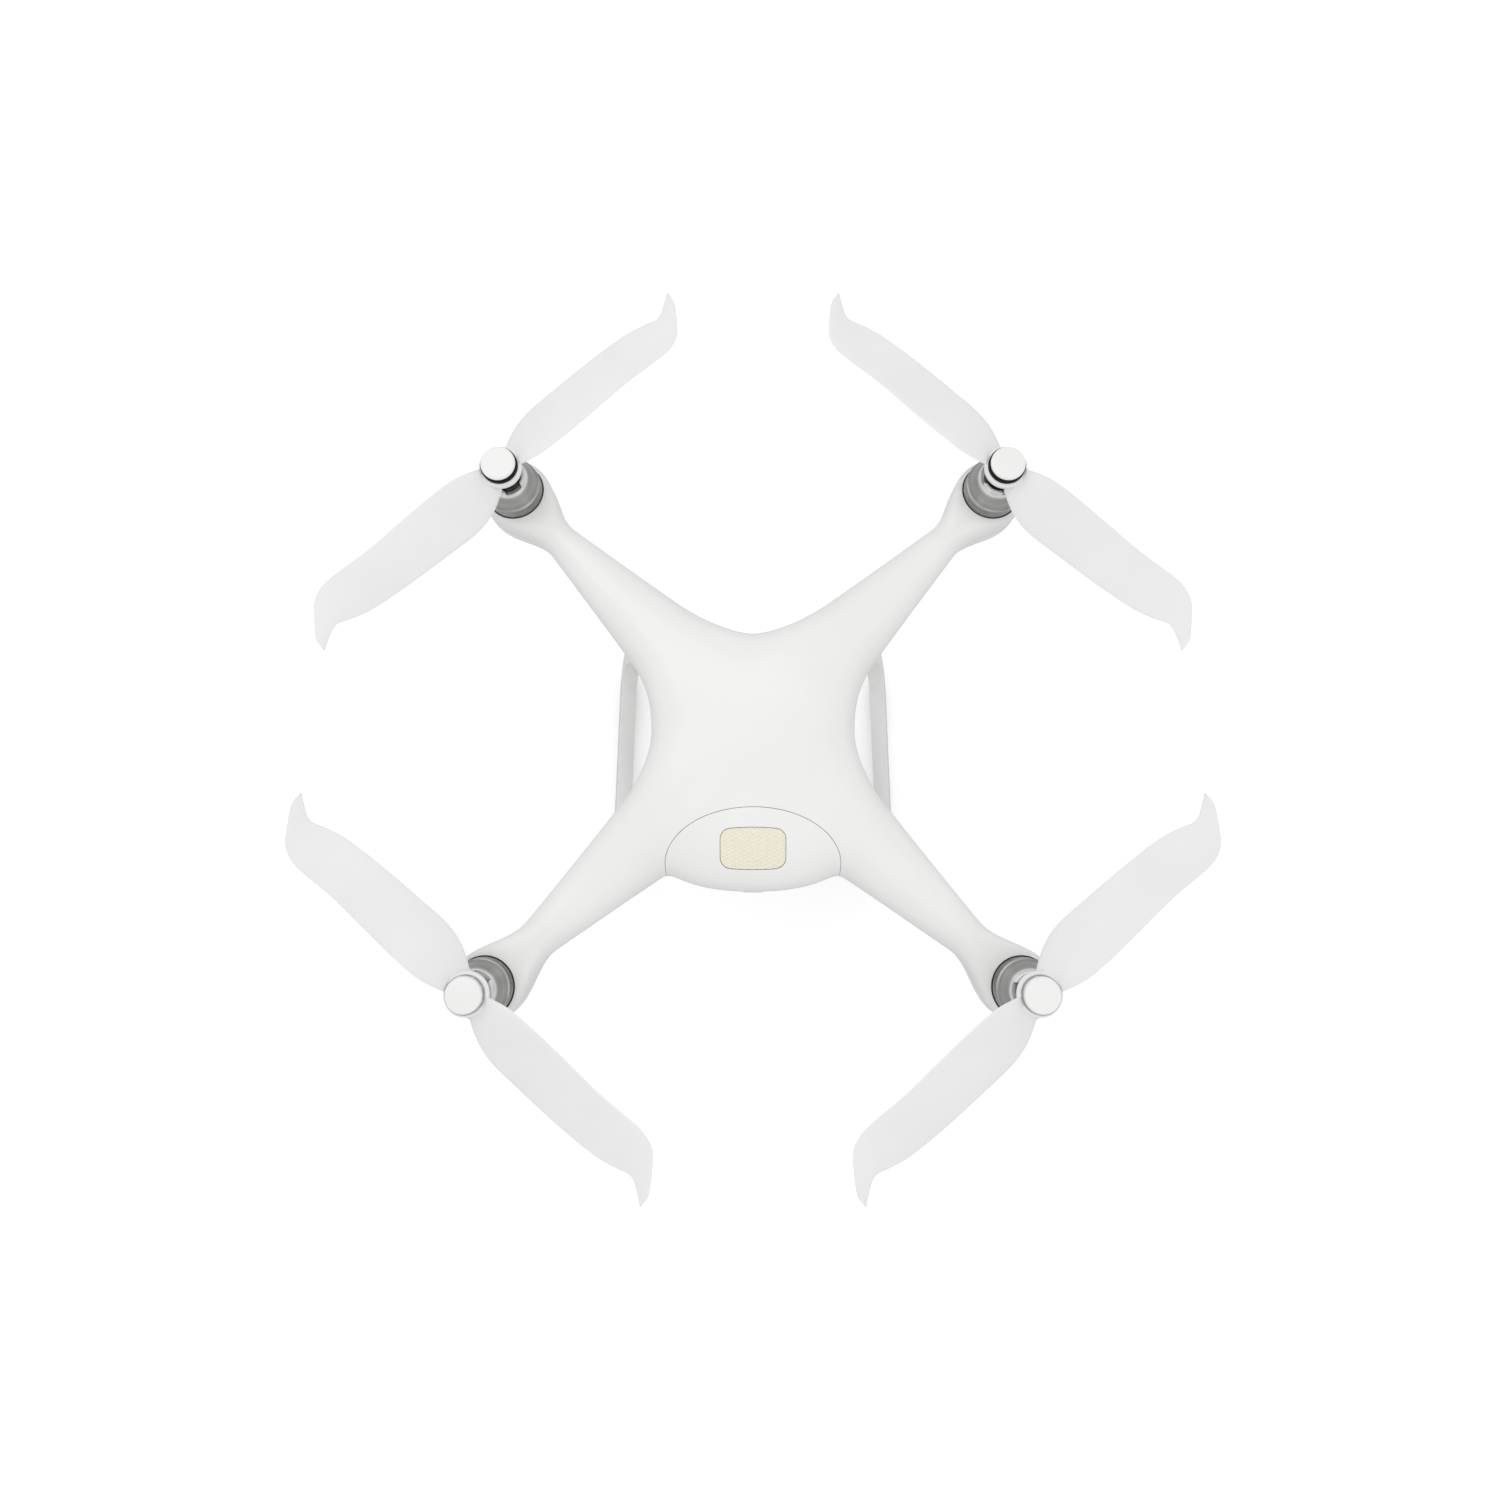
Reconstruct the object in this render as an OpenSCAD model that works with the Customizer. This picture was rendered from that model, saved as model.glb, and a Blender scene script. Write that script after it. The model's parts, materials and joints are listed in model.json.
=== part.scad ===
// Quadcopter camera drone: moulded cross-shaped body, four motors with twist-lock propellers,
// a battery that slides in from the rear, fixed skids and a camera on a three-axis gimbal.
// The front is +Y, the drone's right is +X, up is +Z, and the origin is on the ground under
// the middle. All lengths are millimetres.

/* [Motor places] */
// Distance of the front motors from the centre plane
front_motor_x = 121; // [119.5:0.5:124]
// Distance of the rear motors from the centre plane
rear_motor_x = 127.5; // [125:0.5:129]
// Distance of every motor ahead of or behind the middle
motor_y = 123; // [121:0.5:125]

/* [Body shell] */
// Height of the top of the body
dome_top = 178; // [177:0.5:180]
// Height of the seam between the two shells
seam_z = 150; // [149:0.5:151]
// Height of the belly
belly_z = 100; // [98:0.5:101]
// Height of the underside of the arms
arm_bottom = 136; // [135:0.5:137]
// Height of the flat top of the motor pods
pod_top = 163; // [162:0.5:163.5]
// Radius of the motor pods
pod_r = 17.4; // [17.2:0.1:18.5]
// Distance from a motor to the narrowest part of its arm
neck_gap = 33; // [31:0.5:34]
// Half width of the front arms at their narrowest
front_neck = 8.8; // [8:0.1:10]
// Half width of the rear arms at their narrowest
rear_neck = 10; // [9:0.1:11]
// How fast the edge that faces forwards or backwards widens towards the middle
end_taper = 0.165; // [0.15:0.005:0.17]
// How fast the edge that faces sideways widens towards the middle
side_taper = 0.135; // [0.125:0.005:0.145]
// Distance from the middle to the front edge between the arms
front_edge = 50; // [49:0.5:51]
// Distance from the middle to the side edges between the arms
side_edge = 50.7; // [50:0.1:51]
// Distance from the middle to the rear edge of the battery
rear_edge = 78.6; // [78:0.1:79]
// Thickness of the shells
wall = 1.8; // [1.6:0.1:2]
// Height of the groove between the shells
seam_gap = 0.3; // [0.2:0.05:0.4]

/* [Propellers] */
// Diameter of the propellers
prop_d = 239; // [230:0.5:239.5]
// Angle between a propeller at rest and the sideways direction
prop_rest_angle = 48; // [40:1:55]
// Height of the middle of the blades where they leave the hub
blade_z = 188.4; // [188:0.1:189]
// How far the blades rise from the hub to the tip
blade_rise = 2.6; // [1:0.1:3]
// Height of the top of the hub caps
cap_top = 196; // [195.5:0.1:197]

/* [Motors] */
// Radius of the turning motor bells
bell_r = 14.2; // [14:0.1:14.4]
// Height of the top of the bells
bell_top = 178; // [177.5:0.1:178]
// Height of the outer edge of the bells
bell_shoulder = 170.5; // [170:0.1:172]
// Radius of the motor shafts
shaft_r = 2; // [1.8:0.1:2.2]
// Radial clearance of a turning shaft in its bearing
running_fit = 0.03; // [0.02:0.01:0.05]
// Radius of the hole in the pod round the bell
pod_hole_r = 14.8; // [14.7:0.1:15]

/* [Battery] */
// Half width of the battery's visible end
cap_half = 42; // [41.5:0.1:42.5]
// How far the front of the battery's visible end lies behind the middle
cap_front = 38.7; // [38:0.1:39]
// Half width of the hidden battery case
case_half = 36; // [35:0.5:36]
// Gap between the battery and the parts that it slides in
slide_gap = 0.4; // [0.35:0.05:0.5]
// Width of the pressed release pads
pad_w = 30.8; // [29:0.1:31]
// Length of the pressed release pads
pad_l = 19.6; // [18:0.1:20]
// Travel of the release pads
pad_travel = 2; // [1.5:0.1:2]

/* [Skids] */
// Distance from the centre plane to the skid bars
skid_x = 83.5; // [82:0.5:85]
// Distance from the centre plane to the tops of the legs
leg_top_x = 53; // [52:0.5:54]
// Half length of a skid at the bar
skid_half = 74; // [70:1:78]
// Half distance between the tops of a skid's two legs
leg_top_half = 42; // [40:1:44]
// Thickness of the skids
skid_t = 9.6; // [9:0.1:10]
// Angle by which the skids spread towards the rear
skid_toe = 1.5; // [0:0.1:2]

/* [Camera and gimbal] */
// How far the gimbal's yaw axis lies ahead of the middle
gimbal_y = 12; // [10:0.5:13]
// Height of the camera's tilt axis
camera_z = 57; // [56:0.5:57.5]
// Half width of the camera
camera_half = 17; // [15:0.5:17]

/* [Hidden] */

$fn = 64;
// Each corner's place: its sign along X and its sign along Y
FL = [-1, 1];
FR = [1, 1];
RL = [-1, -1];
RR = [1, -1];
CORNERS = [FL, FR, RL, RR];
// Mesh steps along an arm's edge: round the pod, along the neck flare, along the straight
// taper and round the valley to the next arm; then steps from an arm's ridge down to its edge
pod_steps = 5;
flare_steps = 4;
taper_steps = 3;
valley_steps = 7;
ring_steps = 6;
// Distances along an arm, from the middle, where the body's shape changes
valley_start = 74;
rear_valley_start = 84;
dome_flat = 15;
dome_end = 125;
belly_flat = 50;
belly_end = 112;
// Roundness of the cross-sections, from 2 for an ellipse to 6 for almost square
top_round_middle = 3;
top_round_arm = 2.2;
belly_round_middle = 4;
belly_round_arm = 2.4;
pod_round = 6;
// Battery tray and case heights
tray_floor = 113;
tray_roof = 160.6;
tray_wall = 2;
tray_front = 43;
case_bottom = tray_floor + tray_wall + slide_gap;
case_top = tray_roof - tray_wall - slide_gap;
case_front = tray_front - tray_wall - slide_gap;
cap_centre = -66;
// Motor stack heights
motor_seat = 147;
motor_seat_r = 15.6;
motor_screw_circle = 9.5;
base_t = 2;
stator_low = 153;
stator_high = 168;
bell_low = 151.6;
bell_cap_t = 3;
bearing_r = 4.5;
bearing_t = 3;
low_bearing = 149.5;
high_bearing = 168;
prop_mount_top = 184.2;
lock_ring_r = 9.4;
lock_ring_t = 3.8;
lock_ring_wall = 1.6;
lock_slot_angle = 60;
lock_slot_half = 4.2;
lock_slot_floor = 1.2;
hub_low = 184.6;
hub_high = 191.4;
hub_r = 7.6;
collar_r = 10.2;
ring_top = 194.2;
ring_r = 8.8;
// Gimbal heights and reach
mount_plate_z = 98.4;
damper_plate_z = 93;
yaw_disc_top = 83.4;
yaw_disc_low = 80.4;
roll_face = -13.6;
roll_front = -8.4;
pitch_face = 18.4;
eps = 0.01;

// --- Helpers -------------------------------------------------------------------------------

function mix(a, b, t) = a + (b - a) * t;
function ease(t) = let (c = max(0, min(1, t))) c * c * (3 - 2 * c);
function unit(v) = v / norm(v);
function bezier(a, b, c, d, t) =
  pow(1 - t, 3) * a + 3 * pow(1 - t, 2) * t * b + 3 * (1 - t) * t * t * c + t * t * t * d;
function motor_xy(c) = [c.x * (c.y > 0 ? front_motor_x : rear_motor_x), c.y * motor_y];

module at_motor(c) { translate(concat(motor_xy(c), [0])) children(); }

module at_motors() { for (c = CORNERS) at_motor(c) children(); }

// Turned ring or disc between two heights
module ring(r_out, r_in, low, high) {
  translate([0, 0, low]) difference() {
    cylinder(r = r_out, h = high - low);
    if (r_in > 0) translate([0, 0, -1]) cylinder(r = r_in, h = high - low + 2);
  }
}

// Box given by its lowest and highest corners
module block(low, high) { translate(low) cube(high - low); }

// Cylinder that lies along Y between two places
module rod_y(r, x, z, from, to) {
  translate([x, from, z]) rotate([-90, 0, 0]) cylinder(r = r, h = to - from);
}

// Cylinder that lies along X between two places
module rod_x(r, y, z, from, to) {
  translate([from, y, z]) rotate([0, 90, 0]) cylinder(r = r, h = to - from);
}

// Rounded rectangle round the origin
module round_rect(w, l, r) { offset(r = r) square([w - 2 * r, l - 2 * r], center = true); }

// --- Body outline --------------------------------------------------------------------------
// Only the right half is worked out; the left half mirrors it. A station is
// [edge point, ridge point, distance of the ridge point from the middle].

function arm_length(front) = norm(motor_xy([1, front ? 1 : -1]));
function arm_dir(front) = unit(motor_xy([1, front ? 1 : -1]));
// Sideways direction of an arm: towards the front or rear edge, or towards the side edge
function arm_side(front, end) =
  let (a = arm_dir(front), n = (front ? 1 : -1) * [-a.y, a.x]) (end ? 1 : -1) * n;
function neck(front) = front ? front_neck : rear_neck;
function taper(end) = end ? end_taper : side_taper;

// Half width of an arm at distance s, from the valley out to the pod
function arm_half(front, end, s) =
  let (len = arm_length(front), s_neck = len - neck_gap, t = max(0, (s - s_neck) / neck_gap))
  s <= s_neck
    ? neck(front) + taper(end) * (s_neck - s)
    : bezier(neck(front), neck(front) - taper(end) * neck_gap / 3, pod_r, pod_r, t);

function edge_on_arm(front, end, s) =
  s * arm_dir(front) + arm_half(front, end, s) * arm_side(front, end);

// Bottom of a valley, how far its curve holds the arm's direction, and the valley's own handle
function valley_point(front, end) = end ? (front ? [0, front_edge] : [0, -rear_edge]) : [side_edge, 0];
function valley_arm_handle(front, end) = end ? (front ? 17 : 11) : (front ? 19 : 17);
function valley_handle(front, end) = end ? (front ? [9.6, 0] : [38, 0]) : (front ? [0, 14] : [0, -11]);
function valley_from(front, end) = (end && !front) ? rear_valley_start : valley_start;

function edge_in_valley(front, end, s) =
  let (
    s0 = valley_from(front, end),
    start = edge_on_arm(front, end, s0),
    inward = unit(taper(end) * arm_side(front, end) - arm_dir(front)),
    bottom = valley_point(front, end)
  )
  bezier(start, start + valley_arm_handle(front, end) * inward,
    bottom + valley_handle(front, end), bottom, 1 - s / s0);

function edge_point(front, end, s) =
  s < valley_from(front, end) ? edge_in_valley(front, end, s) : edge_on_arm(front, end, s);

// Distances along the ridge at which the body is sampled, from the pod to the middle
function ridge_steps(front) = let (len = arm_length(front), s_neck = len - neck_gap) concat(
  [for (i = [0:flare_steps - 1]) len - neck_gap * i / flare_steps],
  [for (i = [0:taper_steps - 1]) mix(s_neck, rear_valley_start, i / taper_steps)],
  [rear_valley_start],
  [for (i = [0:valley_steps]) valley_start * (1 - i / valley_steps)]
);

// Stations of half an arm, from its tip to the valley
function half_arm(front, end) =
  let (len = arm_length(front), a = arm_dir(front), n = arm_side(front, end)) concat(
    [for (i = [0:pod_steps - 1]) let (t = 90 * i / pod_steps)
      [len * a + pod_r * (cos(t) * a + sin(t) * n), len * a, len]],
    [for (s = ridge_steps(front)) [edge_point(front, end, s), s * a, s]]
  );

function reversed(v) = [for (i = [len(v) - 1:-1:0]) v[i]];
function all_but_last(v) = [for (i = [0:len(v) - 2]) v[i]];
function mirrored(st) = [[-st[0].x, st[0].y], [-st[1].x, st[1].y], st[2]];

// The whole edge, counterclockwise from the rear, right side first
right_loop = concat(
  all_but_last(reversed(half_arm(false, true))), all_but_last(half_arm(false, false)),
  all_but_last(reversed(half_arm(true, false))), half_arm(true, true)
);
loop = concat(right_loop, [for (i = [len(right_loop) - 2:-1:1]) mirrored(right_loop[i])]);

// --- Body skin -----------------------------------------------------------------------------

function podness(s) = ease((s - (arm_length(true) - neck_gap)) / neck_gap);
function ridge_height(s) = mix(dome_top, pod_top, ease((s - dome_flat) / (dome_end - dome_flat)));
function keel_height(s) = mix(belly_z, arm_bottom, ease((s - belly_flat) / (belly_end - belly_flat)));
function top_round(s) = mix(mix(top_round_middle, top_round_arm, ease(s / 90)), pod_round, podness(s));
function keel_round(s) =
  mix(mix(belly_round_middle, belly_round_arm, ease((s - 40) / 60)), pod_round, podness(s));

// Points of one skin: every station's ring from the ridge down (or up) to the edge
function skin_points(top, inset, base) = [for (st = loop) for (j = [0:ring_steps])
  let (
    e = 2 / (top ? top_round(st[2]) : keel_round(st[2])),
    height = top ? ridge_height(st[2]) - inset : keel_height(st[2]) + inset,
    edge = st[0] + inset * unit(st[1] - st[0]),
    t = 90 * j / ring_steps,
    out = j == ring_steps ? 1 : pow(sin(t), e),
    up = j == ring_steps ? 0 : pow(cos(t), e),
    xy = mix(st[1], edge, out)
  ) [xy.x, xy.y, base + (height - base) * up]];

function flipped(f, flip) = flip ? reversed(f) : f;
function same_ridge(i) = norm(loop[i][1] - loop[(i + 1) % len(loop)][1]) < eps;

// Triangles of one skin whose points start at index first
function skin_faces(first, flip) = [for (i = [0:len(loop) - 1]) for (j = [0:ring_steps - 1])
  let (
    row = ring_steps + 1,
    a = first + i * row + j,
    b = first + ((i + 1) % len(loop)) * row + j
  )
  for (f = (j == 0 && same_ridge(i)) ? [[a, a + 1, b + 1]] : [[a, a + 1, b + 1], [a, b + 1, b]])
    flipped(f, flip)];

// Band that joins the edges of two skins
function rim_faces(first_a, first_b, flip) = [for (i = [0:len(loop) - 1])
  let (
    row = ring_steps + 1,
    a = first_a + i * row + ring_steps,
    b = first_a + ((i + 1) % len(loop)) * row + ring_steps,
    c = first_b + i * row + ring_steps,
    d = first_b + ((i + 1) % len(loop)) * row + ring_steps
  )
  for (f = [[a, c, d], [a, d, b]]) flipped(f, flip)];

// Hollow half shell: outer skin, inner skin and the rim at the seam
module half_shell(top) {
  base = seam_z + (top ? seam_gap / 2 : -seam_gap / 2);
  outer = skin_points(top, 0, base);
  inner = skin_points(top, wall, base);
  polyhedron(
    points = concat(outer, inner),
    faces = concat(skin_faces(0, top), skin_faces(len(outer), !top), rim_faces(0, len(outer), top))
  );
}

// Whole body as one closed solid, with no seam
module body_form() {
  above = skin_points(true, 0, seam_z + eps);
  below = skin_points(false, 0, seam_z - eps);
  polyhedron(
    points = concat(above, below),
    faces = concat(skin_faces(0, true), skin_faces(len(above), false), rim_faces(0, len(above), true))
  );
}

// --- Battery bay outline -------------------------------------------------------------------

// Plan of the battery's visible end: a half ellipse in front and straight sides behind
module cap_plan(gap) {
  translate([0, cap_centre]) {
    scale([(cap_half + gap) / 10, (-cap_front + gap - cap_centre) / 10]) circle(r = 10, $fn = 96);
    translate([-cap_half - gap, -40]) square([2 * (cap_half + gap), 40]);
  }
}

module cap_prism(gap) { translate([0, 0, belly_z - 10]) linear_extrude(90) cap_plan(gap); }

// --- Shells and inner frame ----------------------------------------------------------------

// Where the screws sit along each arm, and the radius of the holes that they bite into
screw_reach = [92, 126];
boss_hole_r = 1.2;

// Puts a child on an arm's centreline at every screw, and tells it the distance from the middle
module at_screws() {
  for (c = CORNERS) for ($s = screw_reach) translate(concat($s * unit(motor_xy(c)), [0])) children();
}

module upper_shell() color("white") {
  difference() {
    union() {
      half_shell(true);
      at_screws() ring(3, 0, seam_z + 1, ridge_height($s) - wall / 2);
    }
    cap_prism(slide_gap);
    at_motors() ring(pod_hole_r, 0, seam_z - 2, pod_top + 4);
    at_screws() ring(boss_hole_r, 0, seam_z - 1, seam_z + 8);
  }
}

module lower_shell() color("white") {
  difference() {
    union() {
      half_shell(false);
      at_motors() ring(motor_seat_r, 0, arm_bottom + 1, motor_seat);
    }
    cap_prism(slide_gap);
    at_motors() motor_screw_set(0.15);
    at_motors() ring(bearing_r + 0.5, 0, arm_bottom + 5, motor_seat + 1);
    at_screws() screw(arm_bottom - 2, 2.4, 1.3);
    for (x = [-sensor_x, sensor_x]) rod_y(sensor_r + 0.1, x, sensor_z, front_edge - 8, front_edge + 9);
    belly_panel(0.2);
    for (c = CORNERS) light_plug(c, 0.1);
  }
}

// Channel that guides the battery and carries the boards
module battery_tray() color("dimgray") {
  outer = case_half + slide_gap + tray_wall;
  difference() {
    block([-outer, cap_centre, tray_floor], [outer, tray_front, tray_roof]);
    block([-outer + tray_wall, cap_centre - 1, tray_floor + tray_wall],
      [outer - tray_wall, tray_front - tray_wall, tray_roof - tray_wall]);
    cap_prism(2 * slide_gap);
    block([-20, tray_front - tray_wall - 1, tray_floor + 12], [20, tray_front + 1, tray_floor + 22]);
  }
}

module main_board() color("darkgreen") {
  board_z = tray_roof + 1.5;
  block([-29, -30, board_z], [29, 34, board_z + 1.6]);
  for (x = [-25, 25], y = [-26, 30]) translate([x, y, tray_roof]) cylinder(r = 2, h = 1.5);
  block([-22, -24, board_z + 1.6], [-4, -8, board_z + 3.4]);
  block([2, -24, board_z + 1.6], [22, -6, board_z + 3.8]);
  block([-24, 20, board_z + 1.6], [24, 32, board_z + 4.2]);
}

module gps_module() color("tan") {
  base = tray_roof + 3.1;
  translate([0, 6, 0]) {
    for (x = [-13, 13], y = [-10, 10]) translate([x, y, base]) cylinder(r = 1.6, h = 4);
    block([-16, -13, base + 4], [16, 13, base + 5.2]);
    block([-12.5, -12.5, base + 5.2], [12.5, 12.5, base + 9.4]);
  }
}

module power_board() color("darkgreen") {
  low = tray_floor - 6;
  block([-30, -26, low], [30, 24, low + 1.6]);
  for (x = [-26, 26], y = [-22, 20]) translate([x, y, low + 1.6]) cylinder(r = 2, h = 4.4);
  for (x = [-21, -7, 7, 21]) block([x - 4, -16, low + 1.6], [x + 4, 12, low + 4]);
}

wire_start = 62;
wire_end_gap = 17.5;

// Three leads run along each arm to its motor, beside the screws
module motor_wires() color("black") {
  for (c = CORNERS) {
    u = motor_xy(c);
    for (k = [0:2]) rotate([0, 0, atan2(u.y, u.x)])
      rod_x(0.7, 2.2 + 1.5 * k, seam_z - 6, wire_start, norm(u) - wire_end_gap);
  }
}

// Screw that stands on its head at height z
module screw(z, head_r, shank_r, length = 13, head_t = 3) {
  translate([0, 0, z]) {
    cylinder(r = head_r, h = head_t, $fn = 32);
    cylinder(r = shank_r, h = length, $fn = 32);
  }
}

module shell_screws() color("silver") {
  at_screws() difference() {
    screw(arm_bottom - 1.2, 2.2, 1.1, 22, 2.2);
    translate([0, 0, arm_bottom - 2]) cylinder(r = 0.9, h = 2, $fn = 6);
  }
}

module at_motor_screws() {
  for (a = [45:90:315]) rotate([0, 0, a]) translate([motor_screw_circle, 0, 0]) children();
}

module motor_screw_set(gap) {
  at_motor_screws() screw(arm_bottom - 2, 2.6 + gap, 1.2 + gap, motor_seat + base_t - arm_bottom + 2, 4);
}

module motor_screws() color("silver") {
  at_motors() intersection() {
    motor_screw_set(0);
    ring(20, 0, arm_bottom + 0.6, motor_seat + base_t);
  }
}

// --- Lights and sensors --------------------------------------------------------------------

// Distance from a motor in to the light under its arm
light_back = 33;

module at_light(c) {
  xy = (norm(motor_xy(c)) - light_back) * unit(motor_xy(c));
  translate([xy.x, xy.y, 0]) children();
}

// Plug of a light cover in the underside of an arm
module light_plug(c, gap) { at_light(c) ring(5 + gap, 0, arm_bottom - 1.6, arm_bottom + 4); }

module light_cover(c) {
  light_plug(c, 0);
  at_light(c) ring(6.2, 0, arm_bottom - 1.6, arm_bottom);
}

module front_light_covers() color("mistyrose") { light_cover(FL); light_cover(FR); }

module rear_light_covers() color("honeydew") { light_cover(RL); light_cover(RR); }

sensor_x = 17;
sensor_z = 136;
sensor_r = 5.5;

module front_sensors() color("black") {
  for (x = [-sensor_x, sensor_x]) difference() {
    rod_y(sensor_r, x, sensor_z, front_edge - 6, front_edge + 5.5);
    rod_y(sensor_r - 1.4, x, sensor_z, front_edge + 4.5, front_edge + 6);
  }
}

panel_y = -24;
panel_w = 52;
panel_l = 22;
panel_corner = 5;

module belly_panel(gap) {
  translate([0, panel_y, belly_z - 1.4]) linear_extrude(4)
    round_rect(panel_w + 2 * gap, panel_l + 2 * gap, panel_corner + gap);
}

module belly_sensors() color("black") {
  difference() {
    belly_panel(0);
    for (x = [-19, -7, 7, 19])
      translate([x, panel_y, belly_z - 2]) cylinder(r = abs(x) > 10 ? 4 : 3, h = 1.4);
  }
}

// --- Skids ---------------------------------------------------------------------------------

pad_z = 3;
skid_z = 7;
leg_top_z = 128;
leg_lean = atan2(skid_x - leg_top_x, leg_top_z - skid_z);

// Side view of a skid: two legs joined by a bar with round corners
module skid_profile() {
  bar = skid_t / 2;
  height = (leg_top_z - skid_z) / cos(leg_lean);
  difference() {
    offset(r = 24) polygon([[-skid_half + 24, 24 - bar], [skid_half - 24, 24 - bar],
      [leg_top_half - 16, height + 30], [16 - leg_top_half, height + 30]]);
    offset(r = 16) polygon([[-skid_half + 27, 16 + bar], [skid_half - 27, 16 + bar],
      [leg_top_half - 22, height + 60], [22 - leg_top_half, height + 60]]);
    translate([-100, height]) square([200, 100]);
  }
}

module skid(side) {
  difference() {
    translate([side * skid_x, 0, skid_z]) rotate([0, 0, side * skid_toe])
      rotate([0, -side * leg_lean, 0]) rotate([90, 0, 90])
        translate([0, 0, -skid_t / 2]) linear_extrude(skid_t) skid_profile();
    block([-200, -200, -20], [200, 200, pad_z]);
  }
}

module left_skid() color("white") skid(-1);

module right_skid() color("white") skid(1);

// Four rubber strips under the bars
module skid_pads() color("gray") {
  for (side = [-1, 1], y = [-42, 42])
    translate([side * skid_x, 0, 0]) rotate([0, 0, side * skid_toe]) translate([0, y, 0])
      linear_extrude(pad_z) round_rect(7, 26, 3);
}

// --- Motors --------------------------------------------------------------------------------

module stator(c) color("goldenrod") at_motor(c) {
  difference() {
    union() {
      ring(13.5, 0, motor_seat, motor_seat + base_t);
      ring(5.6, 0, motor_seat, high_bearing + bearing_t);
      ring(11.4, 0, stator_low, stator_high);
    }
    ring(bearing_r, 0, motor_seat - 1, low_bearing + bearing_t);
    ring(shaft_r + 1, 0, motor_seat, high_bearing + bearing_t + 1);
    ring(bearing_r, 0, high_bearing, high_bearing + bearing_t + 1);
    for (k = [0:11]) rotate([0, 0, 30 * k]) {
      translate([8.6, 0, stator_low - 1]) cylinder(r = 1.5, h = stator_high - stator_low + 2, $fn = 24);
      block([8.6, -0.5, stator_low - 1], [13, 0.5, stator_high + 1]);
    }
    at_motor_screws() translate([0, 0, motor_seat - 1]) cylinder(r = 1.2, h = 4, $fn = 32);
  }
}

module motor_bearings() color("silver") {
  at_motors() for (z = [low_bearing, high_bearing])
    ring(bearing_r, shaft_r + running_fit, z, z + bearing_t);
}

module shaft(c) color("silver") at_motor(c) ring(shaft_r, 0, motor_seat + 1, hub_high - 3);

// Section of a bell: a side wall, a lid sloping down to it, and a boss round the shaft
module bell_section() {
  lid = bell_top - bell_cap_t;
  inner = bell_r - 2;
  polygon([[shaft_r, lid - 3], [5, lid - 3], [5, lid], [7.4, lid], [inner, bell_shoulder - 1.6],
    [inner, bell_low], [bell_r, bell_low], [bell_r, bell_shoulder - 0.5], [bell_r - 0.4, bell_shoulder],
    [lock_ring_r, bell_top], [shaft_r, bell_top]]);
}

// Turning outer bell: coned top, and a slotted ring that the propeller twists into
module bell(c) color("darkgray") at_motor(c) {
  difference() {
    union() {
      rotate_extrude() bell_section();
      ring(lock_ring_r, lock_ring_r - lock_ring_wall, bell_top - 0.5, bell_top + lock_ring_t);
    }
    for (k = [0:2]) rotate([0, 0, 120 * k + lock_slot_angle])
      block([lock_ring_r - 3, -lock_slot_half, bell_top + lock_slot_floor],
        [lock_ring_r + 3, lock_slot_half, bell_top + 5]);
  }
}

// Twist-lock post on the bell, with three lugs for the propeller
module prop_mount(c) color("black") at_motor(c) {
  difference() {
    union() {
      ring(lock_ring_r - 2.2, 0, bell_top, bell_top + 3);
      ring(6, 0, bell_top + 2, prop_mount_top);
      for (k = [0:2]) rotate([0, 0, 120 * k])
        block([5, -2.4, prop_mount_top - 1.8], [7, 2.4, prop_mount_top]);
    }
    ring(shaft_r, 0, bell_top - 1, prop_mount_top + 1);
  }
}

// --- Propellers ----------------------------------------------------------------------------
// The blade outline: [distance from the axis, trailing edge, leading edge], at a 120 mm tip
BLADE = [[7, 7, -7], [18, 11.5, -11.5], [30, 13, -13.6], [48, 10.8, -15.4], [72, 7.2, -17.4],
  [90, 3.6, -20.3], [97, 1.2, -20.9], [102, -1, -20.2], [106.5, -3.2, -18.2], [110, -3.1, -15],
  [113, -1.9, -11.8], [116.5, -0.2, -7.9], [119.2, 1.2, -4], [120, 1.6, 0.4]];
blade_scale = prop_d / 240;
blade_sides = 10;
root_pitch = 24;
tip_pitch = 9;
root_thick = 3.2;
tip_thick = 0.9;

function along(r) = (r - BLADE[0][0]) / (120 - BLADE[0][0]);

// One cross-section of the blade, flat underneath and arched on top
function blade_section(row) =
  let (
    half = (row[1] - row[2]) / 2,
    middle = (row[1] + row[2]) / 2,
    pitch = mix(root_pitch, tip_pitch, sqrt(along(row[0]))),
    thick = mix(root_thick, tip_thick, along(row[0])),
    lift = blade_z + blade_rise * along(row[0])
  )
  [for (k = [0:blade_sides - 1])
    let (t = 360 * k / blade_sides, across = half * cos(t), up = thick * (sin(t) > 0 ? 0.7 : 0.3) * sin(t))
    [blade_scale * row[0], blade_scale * (middle + across * cos(pitch) + up * sin(pitch)),
      lift + up * cos(pitch) - across * sin(pitch)]];

module blade() {
  rows = len(BLADE);
  n = blade_sides;
  polyhedron(
    points = [for (row = BLADE) for (p = blade_section(row)) p],
    faces = concat(
      [[for (k = [0:n - 1]) k]],
      [for (i = [0:rows - 2]) for (k = [0:n - 1])
        let (a = i * n + k, b = i * n + (k + 1) % n) for (f = [[a, a + n, b + n], [a, b + n, b]]) f],
      [[for (k = [n - 1:-1:0]) (rows - 1) * n + k]]
    )
  );
}

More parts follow.
